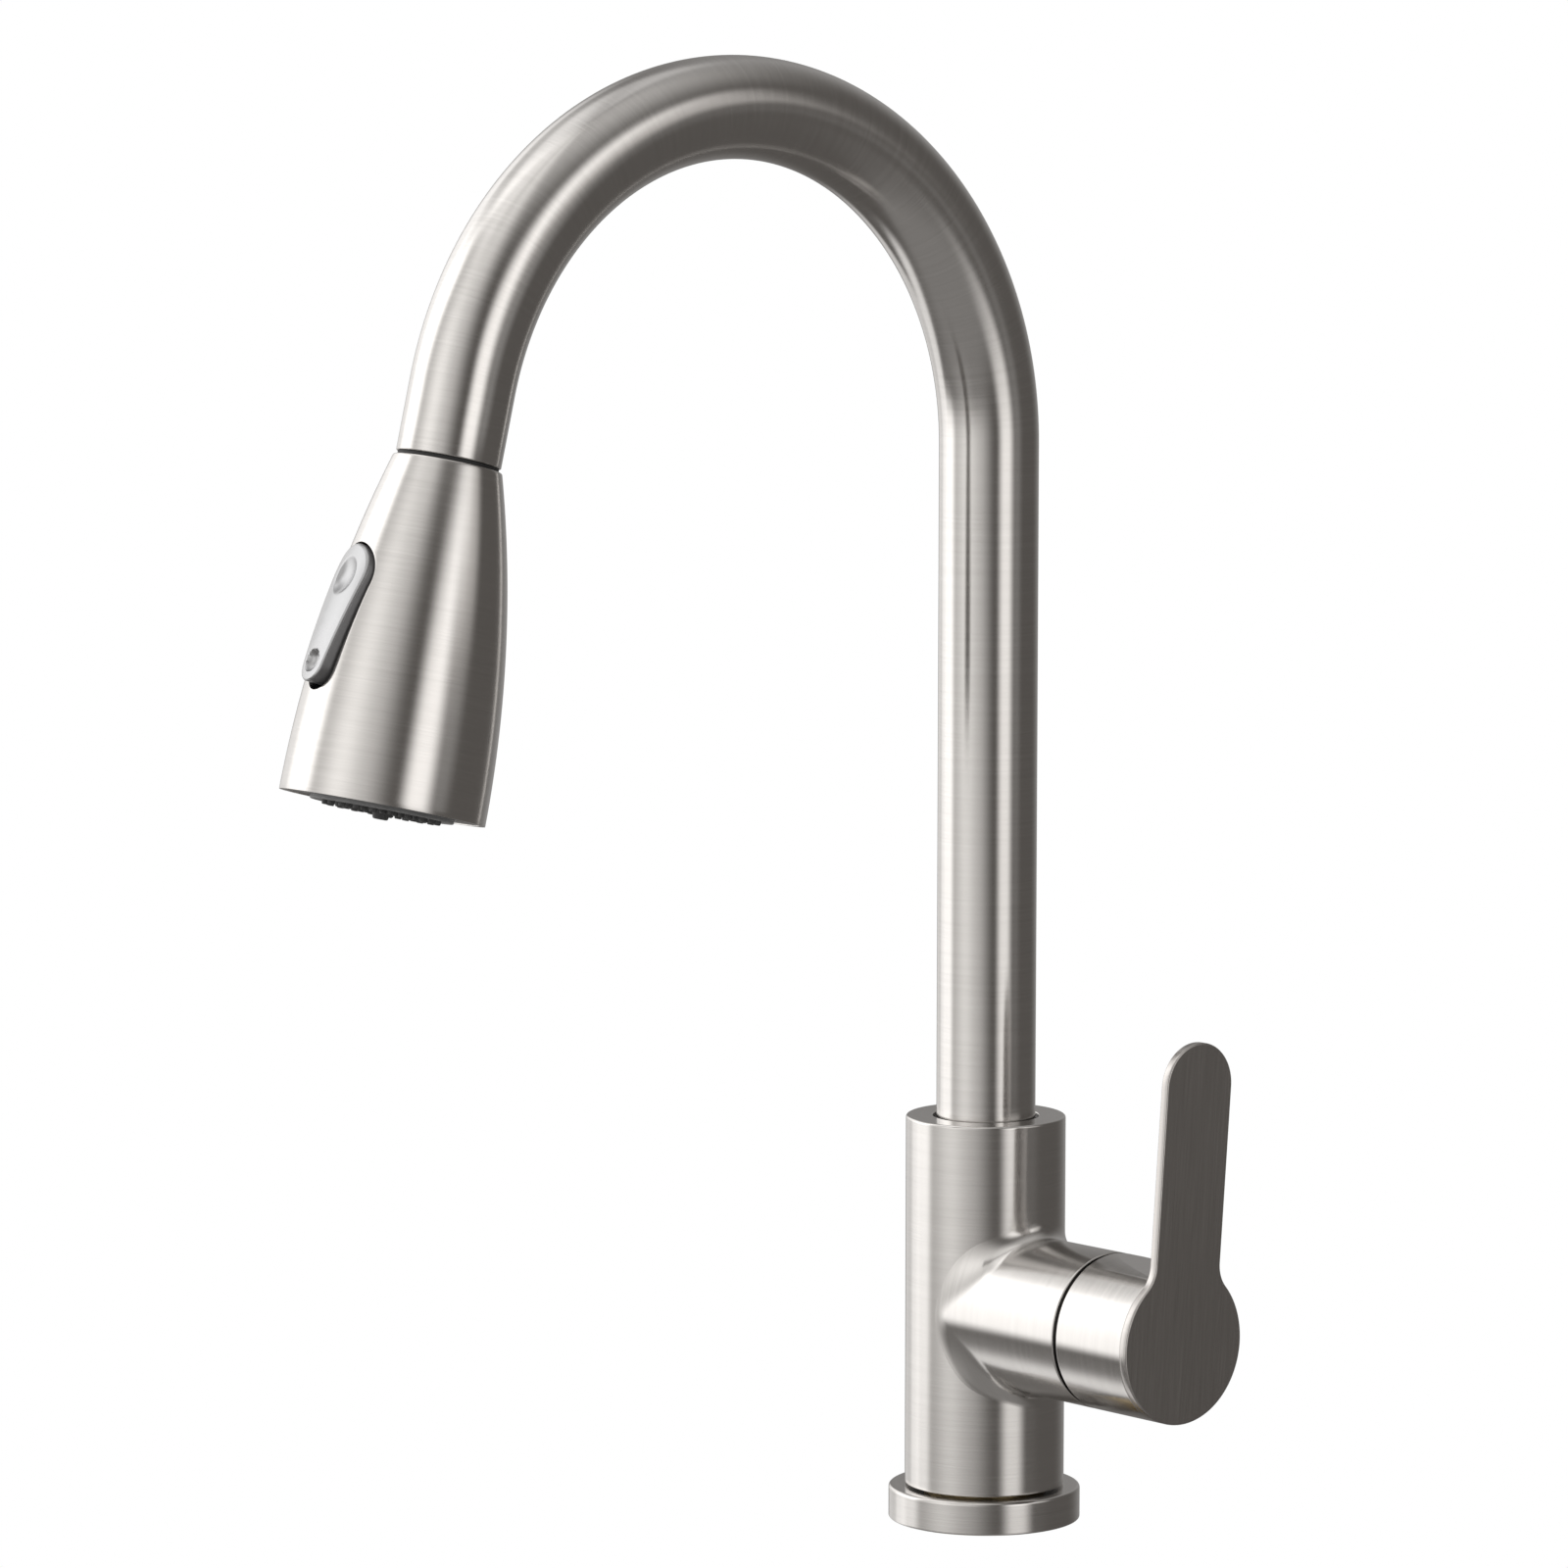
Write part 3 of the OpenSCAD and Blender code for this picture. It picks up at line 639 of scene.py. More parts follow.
def column():
    """The upright column with a rounded rim and the bore the spout turns in."""
    return lathe(
        rounded(
            [
                (0, spout_way_z, 0),
                (spout_way_r, spout_way_z, 0),
                (spout_way_r, body_top, 0.35),
                (body_r, body_top, 0.7),
                (body_r, body_z0, 0.35),
                (0, body_z0, 0),
            ],
            closed=False,
        ),
        closed=False,
    )


def boss():
    """The handle boss, drawn along +Z from the column's axis and flowing into the column.

    The blend is the path of a ball that rolls between the two cylinders and grows toward the sides,
    where they meet almost level.
    """
    steps = 20
    under_reach = 0.4
    under_skin = 0.03
    floor_x = 30.0
    bm = lathe(
        [(boss_r, k) for k in range(steps + 3)]
        + rounded(
            [
                (boss_r, boss_end - 6, 0),
                (boss_r, boss_end, 0.35),
                (bonnet_r, boss_end, 0.2),
                (bonnet_r, bonnet_x0, 0),
                (chamber_r, bonnet_x0, 0),
                (chamber_r, floor_x, 0),
                (0, floor_x, 0),
            ],
            closed=False,
        ),
        closed=False,
        steps=192,
    )
    for v in bm.verts:
        row = round(v.co.z)
        if abs(v.co.z - row) > 1e-4 or row > steps + 2 or abs(v.co.xy.length - boss_r) > 1e-3:
            continue
        # across is the world's y and up is the world's z, for a point of the boss's rim
        up, across = -v.co.x / boss_r, v.co.y / boss_r
        ball_r = boss_blend + (boss_side_blend - boss_blend) * across**4
        ball_across = (boss_r + ball_r) * across
        ball_out = math.sqrt((body_r + ball_r) ** 2 - ball_across**2)
        ball = Vector((ball_out, ball_across, (boss_r + ball_r) * up))
        to_column = Vector((-ball.x, -ball.y, 0)).normalized()
        to_boss = Vector((0, -across, -up))
        turn = to_column.angle(to_boss)
        t = min(max((row - 1) / steps, 0), 1)
        direction = (to_column * math.sin((1 - t) * turn) + to_boss * math.sin(t * turn)) / math.sin(turn)
        spot = ball + direction * ball_r
        if row == 0:
            # one row further along the column's face, just under its skin
            slide = to_column.cross(to_boss).cross(to_column).normalized()
            spot -= slide * under_reach
            spot.xy = spot.xy.normalized() * (body_r - under_skin)
        v.co = Vector((-spot.z, spot.y, spot.x))
    bmesh.ops.holes_fill(bm, edges=bm.edges, sides=0)
    bmesh.ops.recalc_face_normals(bm, faces=bm.faces)
    return bm


body = joined(
    with_grain(column(), turned_place),
    placed(with_grain(boss(), turned_place), ON_BOSS),
)
piece("body_shell_v", body, "body", STEEL, "brushed_steel", "body_shell")


def bonnet():
    """The ring screwed in the boss's mouth, with the dome the hub slides over. Its edge is in the seam, and
    its near-black steel is painted shade of that seam.
    """
    arc_steps = 12
    wall_r = bonnet_r - seated
    inner_r = bonnet_r - dome_t
    foot_x = boss_end + seated
    dome = []
    for k in range(arc_steps + 1):
        r = dome_edge_r + (dome_hole_r - dome_edge_r) * k / arc_steps
        dome.append(Vector((r, pivot_x + math.sqrt(dome_r**2 - r**2))))
    neck = rounded(
        [
            (inner_r, bonnet_x0, 0.2),
            (wall_r, bonnet_x0, 0.2),
            (wall_r, foot_x, 0),
            (dome_edge_r, foot_x, 0),
            (dome[0].x, dome[0].y, 0),
        ],
        closed=False,
    )
    under = [Vector((dome_hole_r, dome[-1].y - dome_t)), Vector((inner_r, foot_x - seated))]
    return placed(with_grain(lathe(neck[:-1] + dome + under), turned_place), ON_BOSS)


# The bonnet ring's near-black steel is painted shade of the seam.
piece("bonnet_ring_v", bonnet(), "body", SEAM_SHADE_STEEL, "brushed_steel", "bonnet_ring")

# ------------------------------------------------------------------ handle


def hub():
    """The handle's hub: a cylinder, hollowed to a sphere over the dome, with a flat cut along its top."""
    hollow_r = dome_r + hub_gap
    stem_hole = 4.1
    socket_end = 70.7
    arc_steps = 14
    mouth_r = math.sqrt(hollow_r**2 - (hub_x0 - pivot_x) ** 2)
    hollow = []
    for k in range(arc_steps + 1):
        r = stem_hole + (mouth_r - stem_hole) * k / arc_steps
        hollow.append(Vector((r, pivot_x + math.sqrt(hollow_r**2 - r**2))))
    outer = rounded(
        [
            (hollow[-1].x, hub_x0, 0),
            (boss_r, hub_x0, 0.3),
            (boss_r, blade_x0 + 0.4, 0.3),
            (0, blade_x0 + 0.4, 0),
        ],
        closed=False,
    )
    socket = [Vector((0, socket_end)), Vector((stem_hole, socket_end))]
    bm = lathe(socket + hollow + outer[1:], closed=False, steps=192)
    with_grain(bm, turned_place)
    # the flat drops toward the blade; here x runs down, so up is -x
    cut = bmesh.ops.bisect_plane(
        bm,
        geom=list(bm.verts) + list(bm.edges) + list(bm.faces),
        plane_co=(-boss_r + 0.1, 0, hub_x0 + 2.5),
        plane_no=(-1, 0, 0.13),
        clear_outer=True,
    )
    rim = only(BMEdge, cut["geom_cut"])
    filled = bmesh.ops.holes_fill(bm, edges=rim, sides=0)["faces"]
    bmesh.ops.inset_region(bm, faces=filled, thickness=0.15, depth=0)
    bmesh.ops.recalc_face_normals(bm, faces=bm.faces)
    return bm


piece(
    "handle_hub_v", placed(hub(), LEANED, ON_BOSS), "handle", STEEL, "brushed_steel", "handle_hub"
)


def lever_outline():
    """The lever's outline: a disc, a neck with a fillet on each side, and a blade with a round tip."""
    disc_steps, neck_steps, tip_steps = 48, 16, 28
    half = blade_w / 2
    tip_y = lever_reach - half
    fillet_x = half + neck_r
    fillet_y = math.sqrt((disc_r + neck_r) ** 2 - fillet_x**2)
    meet = math.atan2(fillet_y, fillet_x)
    right = []
    for k in range(disc_steps + 1):
        a = -math.pi / 2 + (meet + math.pi / 2) * k / disc_steps
        right.append(Vector((disc_r * math.cos(a), disc_r * math.sin(a))))
    for k in range(1, neck_steps + 1):
        a = math.pi + meet * (1 - k / neck_steps)
        right.append(Vector((fillet_x + neck_r * math.cos(a), fillet_y + neck_r * math.sin(a))))
    for k in range(tip_steps + 1):
        a = math.pi / 2 * k / tip_steps
        right.append(Vector((half * math.cos(a), tip_y + half * math.sin(a))))
    left = [Vector((-p.x, p.y)) for p in reversed(right[1:-1])]
    return right + left


def lever():
    """The flat lever plate with softly rounded edges, drawn with z through its thickness."""
    edge_round = 0.5
    bm = bmesh.new()
    verts = [bm.verts.new((p.x, p.y, 0)) for p in lever_outline()]
    back = bm.faces.new(verts)
    made = bmesh.ops.extrude_face_region(bm, geom=[back])
    bmesh.ops.translate(bm, verts=only(BMVert, made["geom"]), vec=(0, 0, blade_t))
    bmesh.ops.recalc_face_normals(bm, faces=bm.faces)
    rims = [e for e in bm.edges if e.calc_face_angle(0) > 1.2]
    bmesh.ops.bevel(
        bm,
        geom=rims,
        offset=edge_round,
        offset_type="OFFSET",
        affect="EDGES",
        segments=5,
        profile=0.5,
        material=-1,
        clamp_overlap=False,
    )
    caps = [f for f in bm.faces if len(f.verts) > 40]
    bmesh.ops.inset_region(bm, faces=caps, thickness=0.2, depth=0)
    bmesh.ops.recalc_face_normals(bm, faces=bm.faces)
    with_grain(bm, lambda co: (co.y, co.z, co.x), linear=True)
    # the plate's x runs along the world's y, its y up and its z along the boss axis
    stand = Matrix(((0, 0, 1, blade_x0), (1, 0, 0, 0), (0, 1, 0, boss_z), (0, 0, 0, 1)))
    return placed(bm, LEANED, stand)


piece("handle_lever_v", lever(), "handle", LEVER_STEEL, "brushed_steel", "handle_lever")

# ------------------------------------------------------------------ spout


def pipe(ro, ri, z0, edge):
    """A tube along the spout's line, its walls closed by a rounded lip at the outlet."""
    rises = 24
    bm = bmesh.new()
    front = []
    for r in (ro, ri):
        front += circle_edges(bm, r, 96, Matrix.Translation((0, 0, z0)))
    bmesh.ops.bridge_loops(bm, edges=front)
    for _ in range(rises):
        front = drawn_out(bm, front, (0, 0, (arch_z - z0) / rises))
    made = bmesh.ops.spin(
        bm,
        geom=front,
        cent=(0, -arch_r, arch_z),
        axis=(1, 0, 0),
        angle=sweep,
        steps=120,
    )["geom_last"]
    front = only(BMEdge, made)
    for step in (outlet_straight / 2, outlet_straight / 2 - edge):
        front = drawn_out(bm, front, OUTWARD * step)
    # the lip: both walls curl toward the middle of the wall
    inward = AT_OUTLET.inverted()
    middle = (ro + ri) / 2
    for k in range(1, ROUND_STEPS + 1):
        a = math.pi / 2 * k / ROUND_STEPS
        made = bmesh.ops.extrude_edge_only(bm, edges=front)["geom"]
        front = only(BMEdge, made)
        for v in only(BMVert, made):
            local = inward @ v.co
            wall_r = ro if math.hypot(local.x, local.y) > middle else ri
            sign = 1 if wall_r == ro else -1
            r = wall_r - sign * edge * (1 - math.cos(a))
            local.z = edge * (1 - math.sin(a))
            local.xy = local.xy.normalized() * r
            v.co = AT_OUTLET @ local
    bmesh.ops.bridge_loops(bm, edges=front)
    bmesh.ops.remove_doubles(bm, verts=bm.verts, dist=1e-3)
    bmesh.ops.recalc_face_normals(bm, faces=bm.faces)
    return bm


spout = with_grain(pipe(tube_r, tube_ri, tube_z0, 0.4), spout_place)
piece("spout_tube_v", spout, "spout", STEEL, "brushed_steel", "spout_tube")


def hose_line(z0, through_arch):
    """The hose's skin, from height z0 through the arch, or only its last straight piece."""
    around, rises, drops = 40, 60, 40
    bm = bmesh.new()
    if through_arch:
        front = circle_edges(bm, hose_r, around, Matrix.Translation((0, 0, z0)))
        for _ in range(rises):
            front = drawn_out(bm, front, (0, 0, (arch_z - z0) / rises))
        bmesh.ops.spin(
            bm,
            geom=front,
            cent=(0, -arch_r, arch_z),
            axis=(1, 0, 0),
            angle=sweep,
            steps=90,
        )
    else:
        start = AT_OUTLET @ Matrix.Translation((0, 0, outlet_straight))
        front = circle_edges(bm, hose_r, around, start)
        for _ in range(drops):
            front = drawn_out(bm, front, OUTWARD * (outlet_straight - ferrule_top) / drops)
    bmesh.ops.holes_fill(bm, edges=bm.edges, sides=0)
    bmesh.ops.recalc_face_normals(bm, faces=bm.faces)
    return with_grain(bm, spout_place)


piece("spray_hose_upper_v", hose_line(shank_low, True), "spout", BRAID, "braid")
hose_end = piece("spray_hose_v", hose_line(0, False), None, BRAID, "braid", "spray_hose")
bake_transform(hose_end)

# ------------------------------------------------------------------ spray head


def head_radius(z):
    """The head's radius at height z in its own frame."""
    return head_face_r - head_curve + math.sqrt(head_curve**2 - (z - head_z1) ** 2)


def slot_distance(x, z):
    """How far a point is outside the switch's slot: two discs joined by their outer tangents."""
    length = slot_top_z - slot_low_z
    along, across = slot_top_z - z, abs(x)
    slope = (slot_big_r - slot_small_r) / length
    square = math.sqrt(1 - slope**2)
    reach = -slope * across + square * along
    if reach < 0:
        return math.hypot(across, along) - slot_big_r
    if reach > square * length:
        return math.hypot(across, along - length) - slot_small_r
    return square * across + slope * along - slot_big_r


def slot_edge(direction, grow):
    """The point of the grown slot's edge in this direction from its middle."""
    low, high = 0.0, 40.0
    for _ in range(40):
        middle = (low + high) / 2
        if slot_distance(direction.x * middle, slot_centre_z + direction.y * middle) < grow:
            low = middle
        else:
            high = middle
    return Vector((direction.x * low, slot_centre_z + direction.y * low))


def on_head(x, z, grow=0.0):
    """The point of the head's front at x and z, grown outward."""
    r = head_radius(z) + grow
    return Vector((x, -math.sqrt(r * r - x * x), z))


def head_skin():
    """The head's outer skin turned about its axis, with the switch's slot cut in its front."""
    rows = 69
    window_low, window_high = 16, 52
    flank_top = head_z0 - 1.1
    flank = [head_z1 + (flank_top - head_z1) * k / rows for k in range(rows + 1)]
    profile = [Vector((head_radius(z), z)) for z in flank]
    shoulder = rounded(
        [
            (profile[-1].x, profile[-1].y, 0),
            (head_radius(head_z0), head_z0, 0.6),
            (head_hole_r, head_z0, 0),
        ],
        closed=False,
    )
    bm = lathe(profile + shoulder[2:], closed=False, steps=180)
    spread = math.radians(36)
    low, high = flank[window_low], flank[window_high]
    window = []
    for face in bm.faces:
        middle = face.calc_center_median()
        if low < middle.z < high and abs(math.atan2(middle.x, -middle.y)) < spread:
            window.append(face)
    bmesh.ops.delete(bm, geom=window, context="FACES")
    rim = [e for e in bm.edges if e.is_boundary and low - 1e-3 <= e.verts[0].co.z <= high + 1e-3]
    spots = {}
    for v in {v for e in rim for v in e.verts}:
        direction = Vector((v.co.x, v.co.z - slot_centre_z)).normalized()
        edge = slot_edge(direction, 0)
        spots[v] = bm.verts.new(on_head(edge.x, edge.y))
    inner = [bm.edges.new((spots[e.verts[0]], spots[e.verts[1]])) for e in rim]
    bridge = bmesh.ops.bridge_loops(bm, edges=rim + inner)
    spokes = [e for e in bridge["edges"] if e not in rim and e not in inner]
    split = bmesh.ops.subdivide_edges(bm, edges=spokes, cuts=9, use_grid_fill=True)
    for v in set(only(BMVert, split["geom_inner"])):
        v.co = on_head(v.co.x, v.co.z)
    bmesh.ops.recalc_face_normals(bm, faces=bm.faces)
    outward = 0.0
    for face in bm.faces:
        middle = face.calc_center_median()
        outward += face.normal.x * middle.x + face.normal.y * middle.y
    if outward < 0:
        bmesh.ops.reverse_faces(bm, faces=bm.faces)
    return bm


def head_shell():
    """The skin thickened inward, its edges rounded."""
    bm = head_skin()
    bmesh.ops.solidify(bm, geom=list(bm.faces), thickness=head_wall)
    bmesh.ops.recalc_face_normals(bm, faces=bm.faces)
    corners = [e for e in bm.edges if e.is_manifold and e.calc_face_angle(0) > 0.9]
    bmesh.ops.bevel(
        bm,
        geom=corners,
        offset=0.28,
        offset_type="OFFSET",
        affect="EDGES",
        segments=3,
        profile=0.5,
        material=-1,
        clamp_overlap=True,
    )
    return placed(with_grain(bm, turned_place), AT_HEAD)


piece("head_shell_v", head_shell(), "spray_head", STEEL, "brushed_steel", "head_shell")


def button_face(x, z):
    """The switch's face: it follows the head, with two dimples whose rims are softened."""
    rim = 0.22
    y = on_head(x, z, button_proud).y
    for centre_z, centre_y, r in DIMPLES:
        room = r * r - x * x - (z - centre_z) ** 2
        depth = centre_y + math.sqrt(max(room, 0.0)) - y
        if room > 0 and depth > -rim:
            y += depth if depth > rim else (depth + rim) ** 2 / (4 * rim)
    return y


def button():
    """The switch: loops of its outline, from the back of its side wall over a rounded edge to the middle.

    Its plated face has the first material and its side wall the second: a dark grey that is partly the bare
    moulding and partly painted shade of the gap round the switch.
    """
    wall_slant = 0.3
    face_steps = 72
    count = 160
    edge = 0.7
    bm = bmesh.new()
    turns = [math.tau * k / count for k in range(count)]
    ways = [Vector((math.sin(turn), math.cos(turn))) for turn in turns]
    loops = [(0.0, None), (0.0, edge + 3.0)]
    for k in range(6):
        a = math.pi / 2 * k / 5
        loops.append((edge * (1 - math.cos(a)), edge * (1 - math.sin(a))))
    middle = Vector((0, slot_centre_z))
    rings = []
    for inset, drop in loops:
        ring = []
        for way in ways:
            spot = slot_edge(way, -button_gap - inset)
            y = button_back_y if drop is None else button_face(spot.x, spot.y) + drop
            ring.append(bm.verts.new((spot.x, min(y, button_back_y), spot.y)))
        rings.append(ring)
    inner = [slot_edge(way, -button_gap - edge) for way in ways]
    for k in range(1, face_steps):
        ring = []
        for spot in inner:
            here = middle + (spot - middle) * (1 - k / face_steps)
            ring.append(bm.verts.new((here.x, button_face(here.x, here.y), here.y)))
        rings.append(ring)
    loops_of_edges = [
        [bm.edges.new((ring[i], ring[(i + 1) % count])) for i in range(count)] for ring in rings
    ]
    for first, second in zip(loops_of_edges, loops_of_edges[1:]):
        bmesh.ops.bridge_loops(bm, edges=first + second)
    bmesh.ops.holes_fill(bm, edges=loops_of_edges[0] + loops_of_edges[-1], sides=0)
    bmesh.ops.recalc_face_normals(bm, faces=bm.faces)
    # side-wall faces take the second material, a darker grey that is partly bare moulding and partly
    # painted shade of the gap
    for face in bm.faces:
        face.material_index = int(abs(face.normal.y) < wall_slant)
    tilt = (
        Matrix.Translation(button_axis)
        @ Matrix.Rotation(math.radians(-button_rest), 4, "X")
        @ Matrix.Translation(-button_axis)
    )
    bars = []
    for middle_y, bar_size in BUTTON_BARS:
        place = Matrix.Translation((0, middle_y, button_axis.z)) @ Matrix.Diagonal((*bar_size, 1))
        bars += edges_of(bmesh.ops.create_cube(bm, size=1, matrix=place)["verts"])
    bmesh.ops.bevel(bm, geom=bars, offset=0.3, affect="EDGES", segments=2, profile=0.5, material=-1)
    return placed(bm, AT_HEAD, tilt)


switch = piece("rocker_button_v", button(), "rocker", BUTTON, "button_plastic", "rocker_button")
# the side wall's darker material, partly painted shade of the gap
switch.data.materials.append(BUTTON_WALL_AND_SHADE)

face_ring = lathe(
    rounded(
        [
            (plate_r + 0.3, head_z1 + 0.2, 0.25),
            (head_face_r - head_wall - 0.1, head_z1 + 0.2, 0.25),
            (head_face_r - head_wall - 0.1, head_z1 + 2.5, 0),
            (plate_r + 0.3, head_z1 + 2.5, 0),
        ]
    )
)
piece(
    "face_ring_v",
    placed(with_grain(face_ring, turned_place), AT_HEAD),
    "spray_head",
    RING_STEEL,
    "brushed_steel",
    "face_ring",
)


def nozzle(radius, tip_z, root_z, hole_r):
    """One soft nozzle: a small cone with a round rim and a hole."""
    return lathe(
        rounded(
            [
                (0, root_z, 0),
                (radius * 1.12, root_z, 0),
                (radius, tip_z, 0.25),
                (hole_r, tip_z, 0),
                (0, tip_z + 0.5, 0),
            ],
            closed=False,
        ),
        closed=False,
        steps=20,
    )


def nozzle_field():
    """All the nozzles, in rings round the middle."""
    shapes = []
    for ring_r, count in nozzle_rings:
        for k in range(count):
            spin = Matrix.Rotation(math.tau * k / count, 4, "Z")
            one = nozzle(nozzle_r, plate_z - nozzle_proud, plate_z + 0.6, 0.4)
            shapes.append(placed(one, spin, Matrix.Translation((ring_r, 0, 0))))
    return placed(joined(*shapes), AT_HEAD)


piece("spray_nozzles_v", nozzle_field(), "spray_head", NUB, "rubber", "spray_nozzles")


def spray_face():
    """The nozzle plate: a shallow tray with a raised rim and a step round the middle."""
    return placed(
        lathe(
            rounded(
                [
                    (stream_r + 0.05, plate_z + 3, 0),
                    (stream_r + 0.05, plate_z + 0.3, 0.2),
                    (stream_r + 1.0, plate_z + 0.3, 0.2),
                    (stream_r + 1.3, plate_z, 0.2),
                    (plate_r - 1.4, plate_z, 0.3),
                    (plate_r - 1.0, plate_z - 0.25, 0.15),
                    (plate_r, plate_z - 0.25, 0.4),
                    (plate_r, plate_z + 3, 0),
                ]
            )
        ),
        AT_HEAD,
    )


piece("spray_plate_v", spray_face(), "spray_head", GREY, "grey_plastic", "spray_plate")

stream = lathe(
    rounded(
        [
            (0, plate_z + 4, 0),
            (stream_r, plate_z + 4, 0),
            (stream_r, plate_z - 0.3, 0.4),
            (stream_nub_r + 0.5, plate_z - 0.3, 0.3),
            (stream_nub_r, plate_z - stream_nub_proud, 0.5),
            (0, plate_z - stream_nub_proud, 0),
        ],
        closed=False,
    ),
    closed=False,
    steps=64,
)
piece("stream_outlet_v", placed(stream, AT_HEAD), "spray_head", NUB, "grey_plastic", "stream_outlet")

# ------------------------------------------------------------------ check valve's spring


def coil(coil_r, wire_r, z0, z1, turns):
    """A wire spun up round the axis, its two ends closed."""
    steps = 16 * turns
    bm = bmesh.new()
    across = Matrix.Translation((coil_r, 0, z0)) @ Matrix.Rotation(math.pi / 2, 4, "X")
    ring = bmesh.ops.create_circle(bm, segments=8, radius=wire_r, cap_ends=False, matrix=across)
    edges = edges_of(ring["verts"])
    bmesh.ops.spin(
        bm,
        geom=ring["verts"] + edges,
        cent=(0, 0, 0),
        axis=(0, 0, 1),
        dvec=(0, 0, (z1 - z0) / steps),
        angle=math.tau * turns,
        steps=steps,
    )
    bmesh.ops.holes_fill(bm, edges=bm.edges, sides=0)
    bmesh.ops.recalc_face_normals(bm, faces=bm.faces)
    return bm


spring_piece = piece(
    "check_spring_v",
    placed(coil(spring_r, spring_wire_r, spring_low, spring_high, spring_turns), AT_HEAD),
    "spray_head",
    DARK_STEEL,
    "hidden_steel",
    "check_spring",
)
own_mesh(spring_piece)

# ------------------------------------------------------------------ looks of the CAD pieces that stay

KEPT = {
    RUBBER: ["base_gasket", "cartridge_seals", "hose_washer", "docking_ring", "check_poppet"],
    BLACK: ["upper_glide_ring", "thrust_washer", "tube_end_insert", "rocker_pocket"],
    WHITE: ["cartridge_housing", "lower_glide_ring", "check_valve_body", "diverter_plunger"],
    GREY: ["head_core", "cartridge_rotor"],
    BRASS: ["outlet_tube", "cartridge_nut", "spout_spigot", "hose_nut", "cartridge_stem"],
    DARK_STEEL: ["spout_lock_screw", "hose_ferrule", "rocker_pin", "stem_pin", "grub_screw"],
    CERAMIC: ["fixed_disc", "moving_disc"],
}
for look, names in KEPT.items():
    for name in names:
        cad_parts[name].material_slots[0].material = look

# ------------------------------------------------------------------ floor, light and camera

scene = bpy.context.scene
scene.view_settings.view_transform = "Standard"


def seen_and_lit(tree, shader, glow, level):
    """Mixes a plain bright glow, for what the camera sees, with the shader that lights the object."""
    path = tree.nodes.new("ShaderNodeLightPath")
    bright = tree.nodes.new(glow)
    bright.inputs["Color"].default_value = (1, 1, 1, 1)
    bright.inputs["Strength"].default_value = level
    mix = tree.nodes.new("ShaderNodeMixShader")
    tree.links.new(path.outputs["Is Camera Ray"], mix.inputs[0])
    tree.links.new(shader, mix.inputs[1])
    tree.links.new(bright.outputs[0], mix.inputs[2])
    return mix.outputs[0]


def floor():
    """A pale round table top under the flange."""
    floor_r = 0.7
    floor_drop = 0.0002
    bm = bmesh.new()
    bmesh.ops.create_circle(
        bm, segments=96, radius=floor_r, cap_ends=True, matrix=Matrix.Translation((0, 0, -floor_drop))
    )
    mesh = bpy.data.meshes.new("floor")
    bm.to_mesh(mesh)
    bm.free()
    made = bpy.data.objects.new("floor", mesh)
    scene.collection.objects.link(made)
    look = Look("pale_floor")
    grain = look.noise(look.coordinates(), 60.0, 3.0)
    look.surface(
        Base_Color=look.mixed(look.ranged(grain, 0.0, 1.0), (0.74, 0.73, 0.72), (0.78, 0.775, 0.77)),
        Roughness=0.7,
    )
    out = look.tree.nodes["Material Output"]
    lit = look.shader.outputs[0]
    look.tree.links.new(seen_and_lit(look.tree, lit, "ShaderNodeEmission", 1.0), out.inputs["Surface"])
    made.data.materials.append(look.material)
    made.visible_glossy = False


floor()

camera_place = Vector((1.46205, -1.33684, 0.43923))
camera_aim = Vector((-0.04223, -0.03915, 0.20875))
camera_roll = 0.0014
camera_lens = 162.67
camera = bpy.data.objects.new("camera", bpy.data.cameras.new("camera"))
scene.collection.objects.link(camera)
camera.location = camera_place
camera.rotation_mode = "QUATERNION"
aim = (camera_aim - camera_place).to_track_quat("-Z", "Y")
camera.rotation_quaternion = aim @ Matrix.Rotation(camera_roll, 3, "Z").to_quaternion()
camera.data.sensor_width = 36
camera.data.lens = camera_lens
camera.data.clip_end = 20
scene.camera = camera

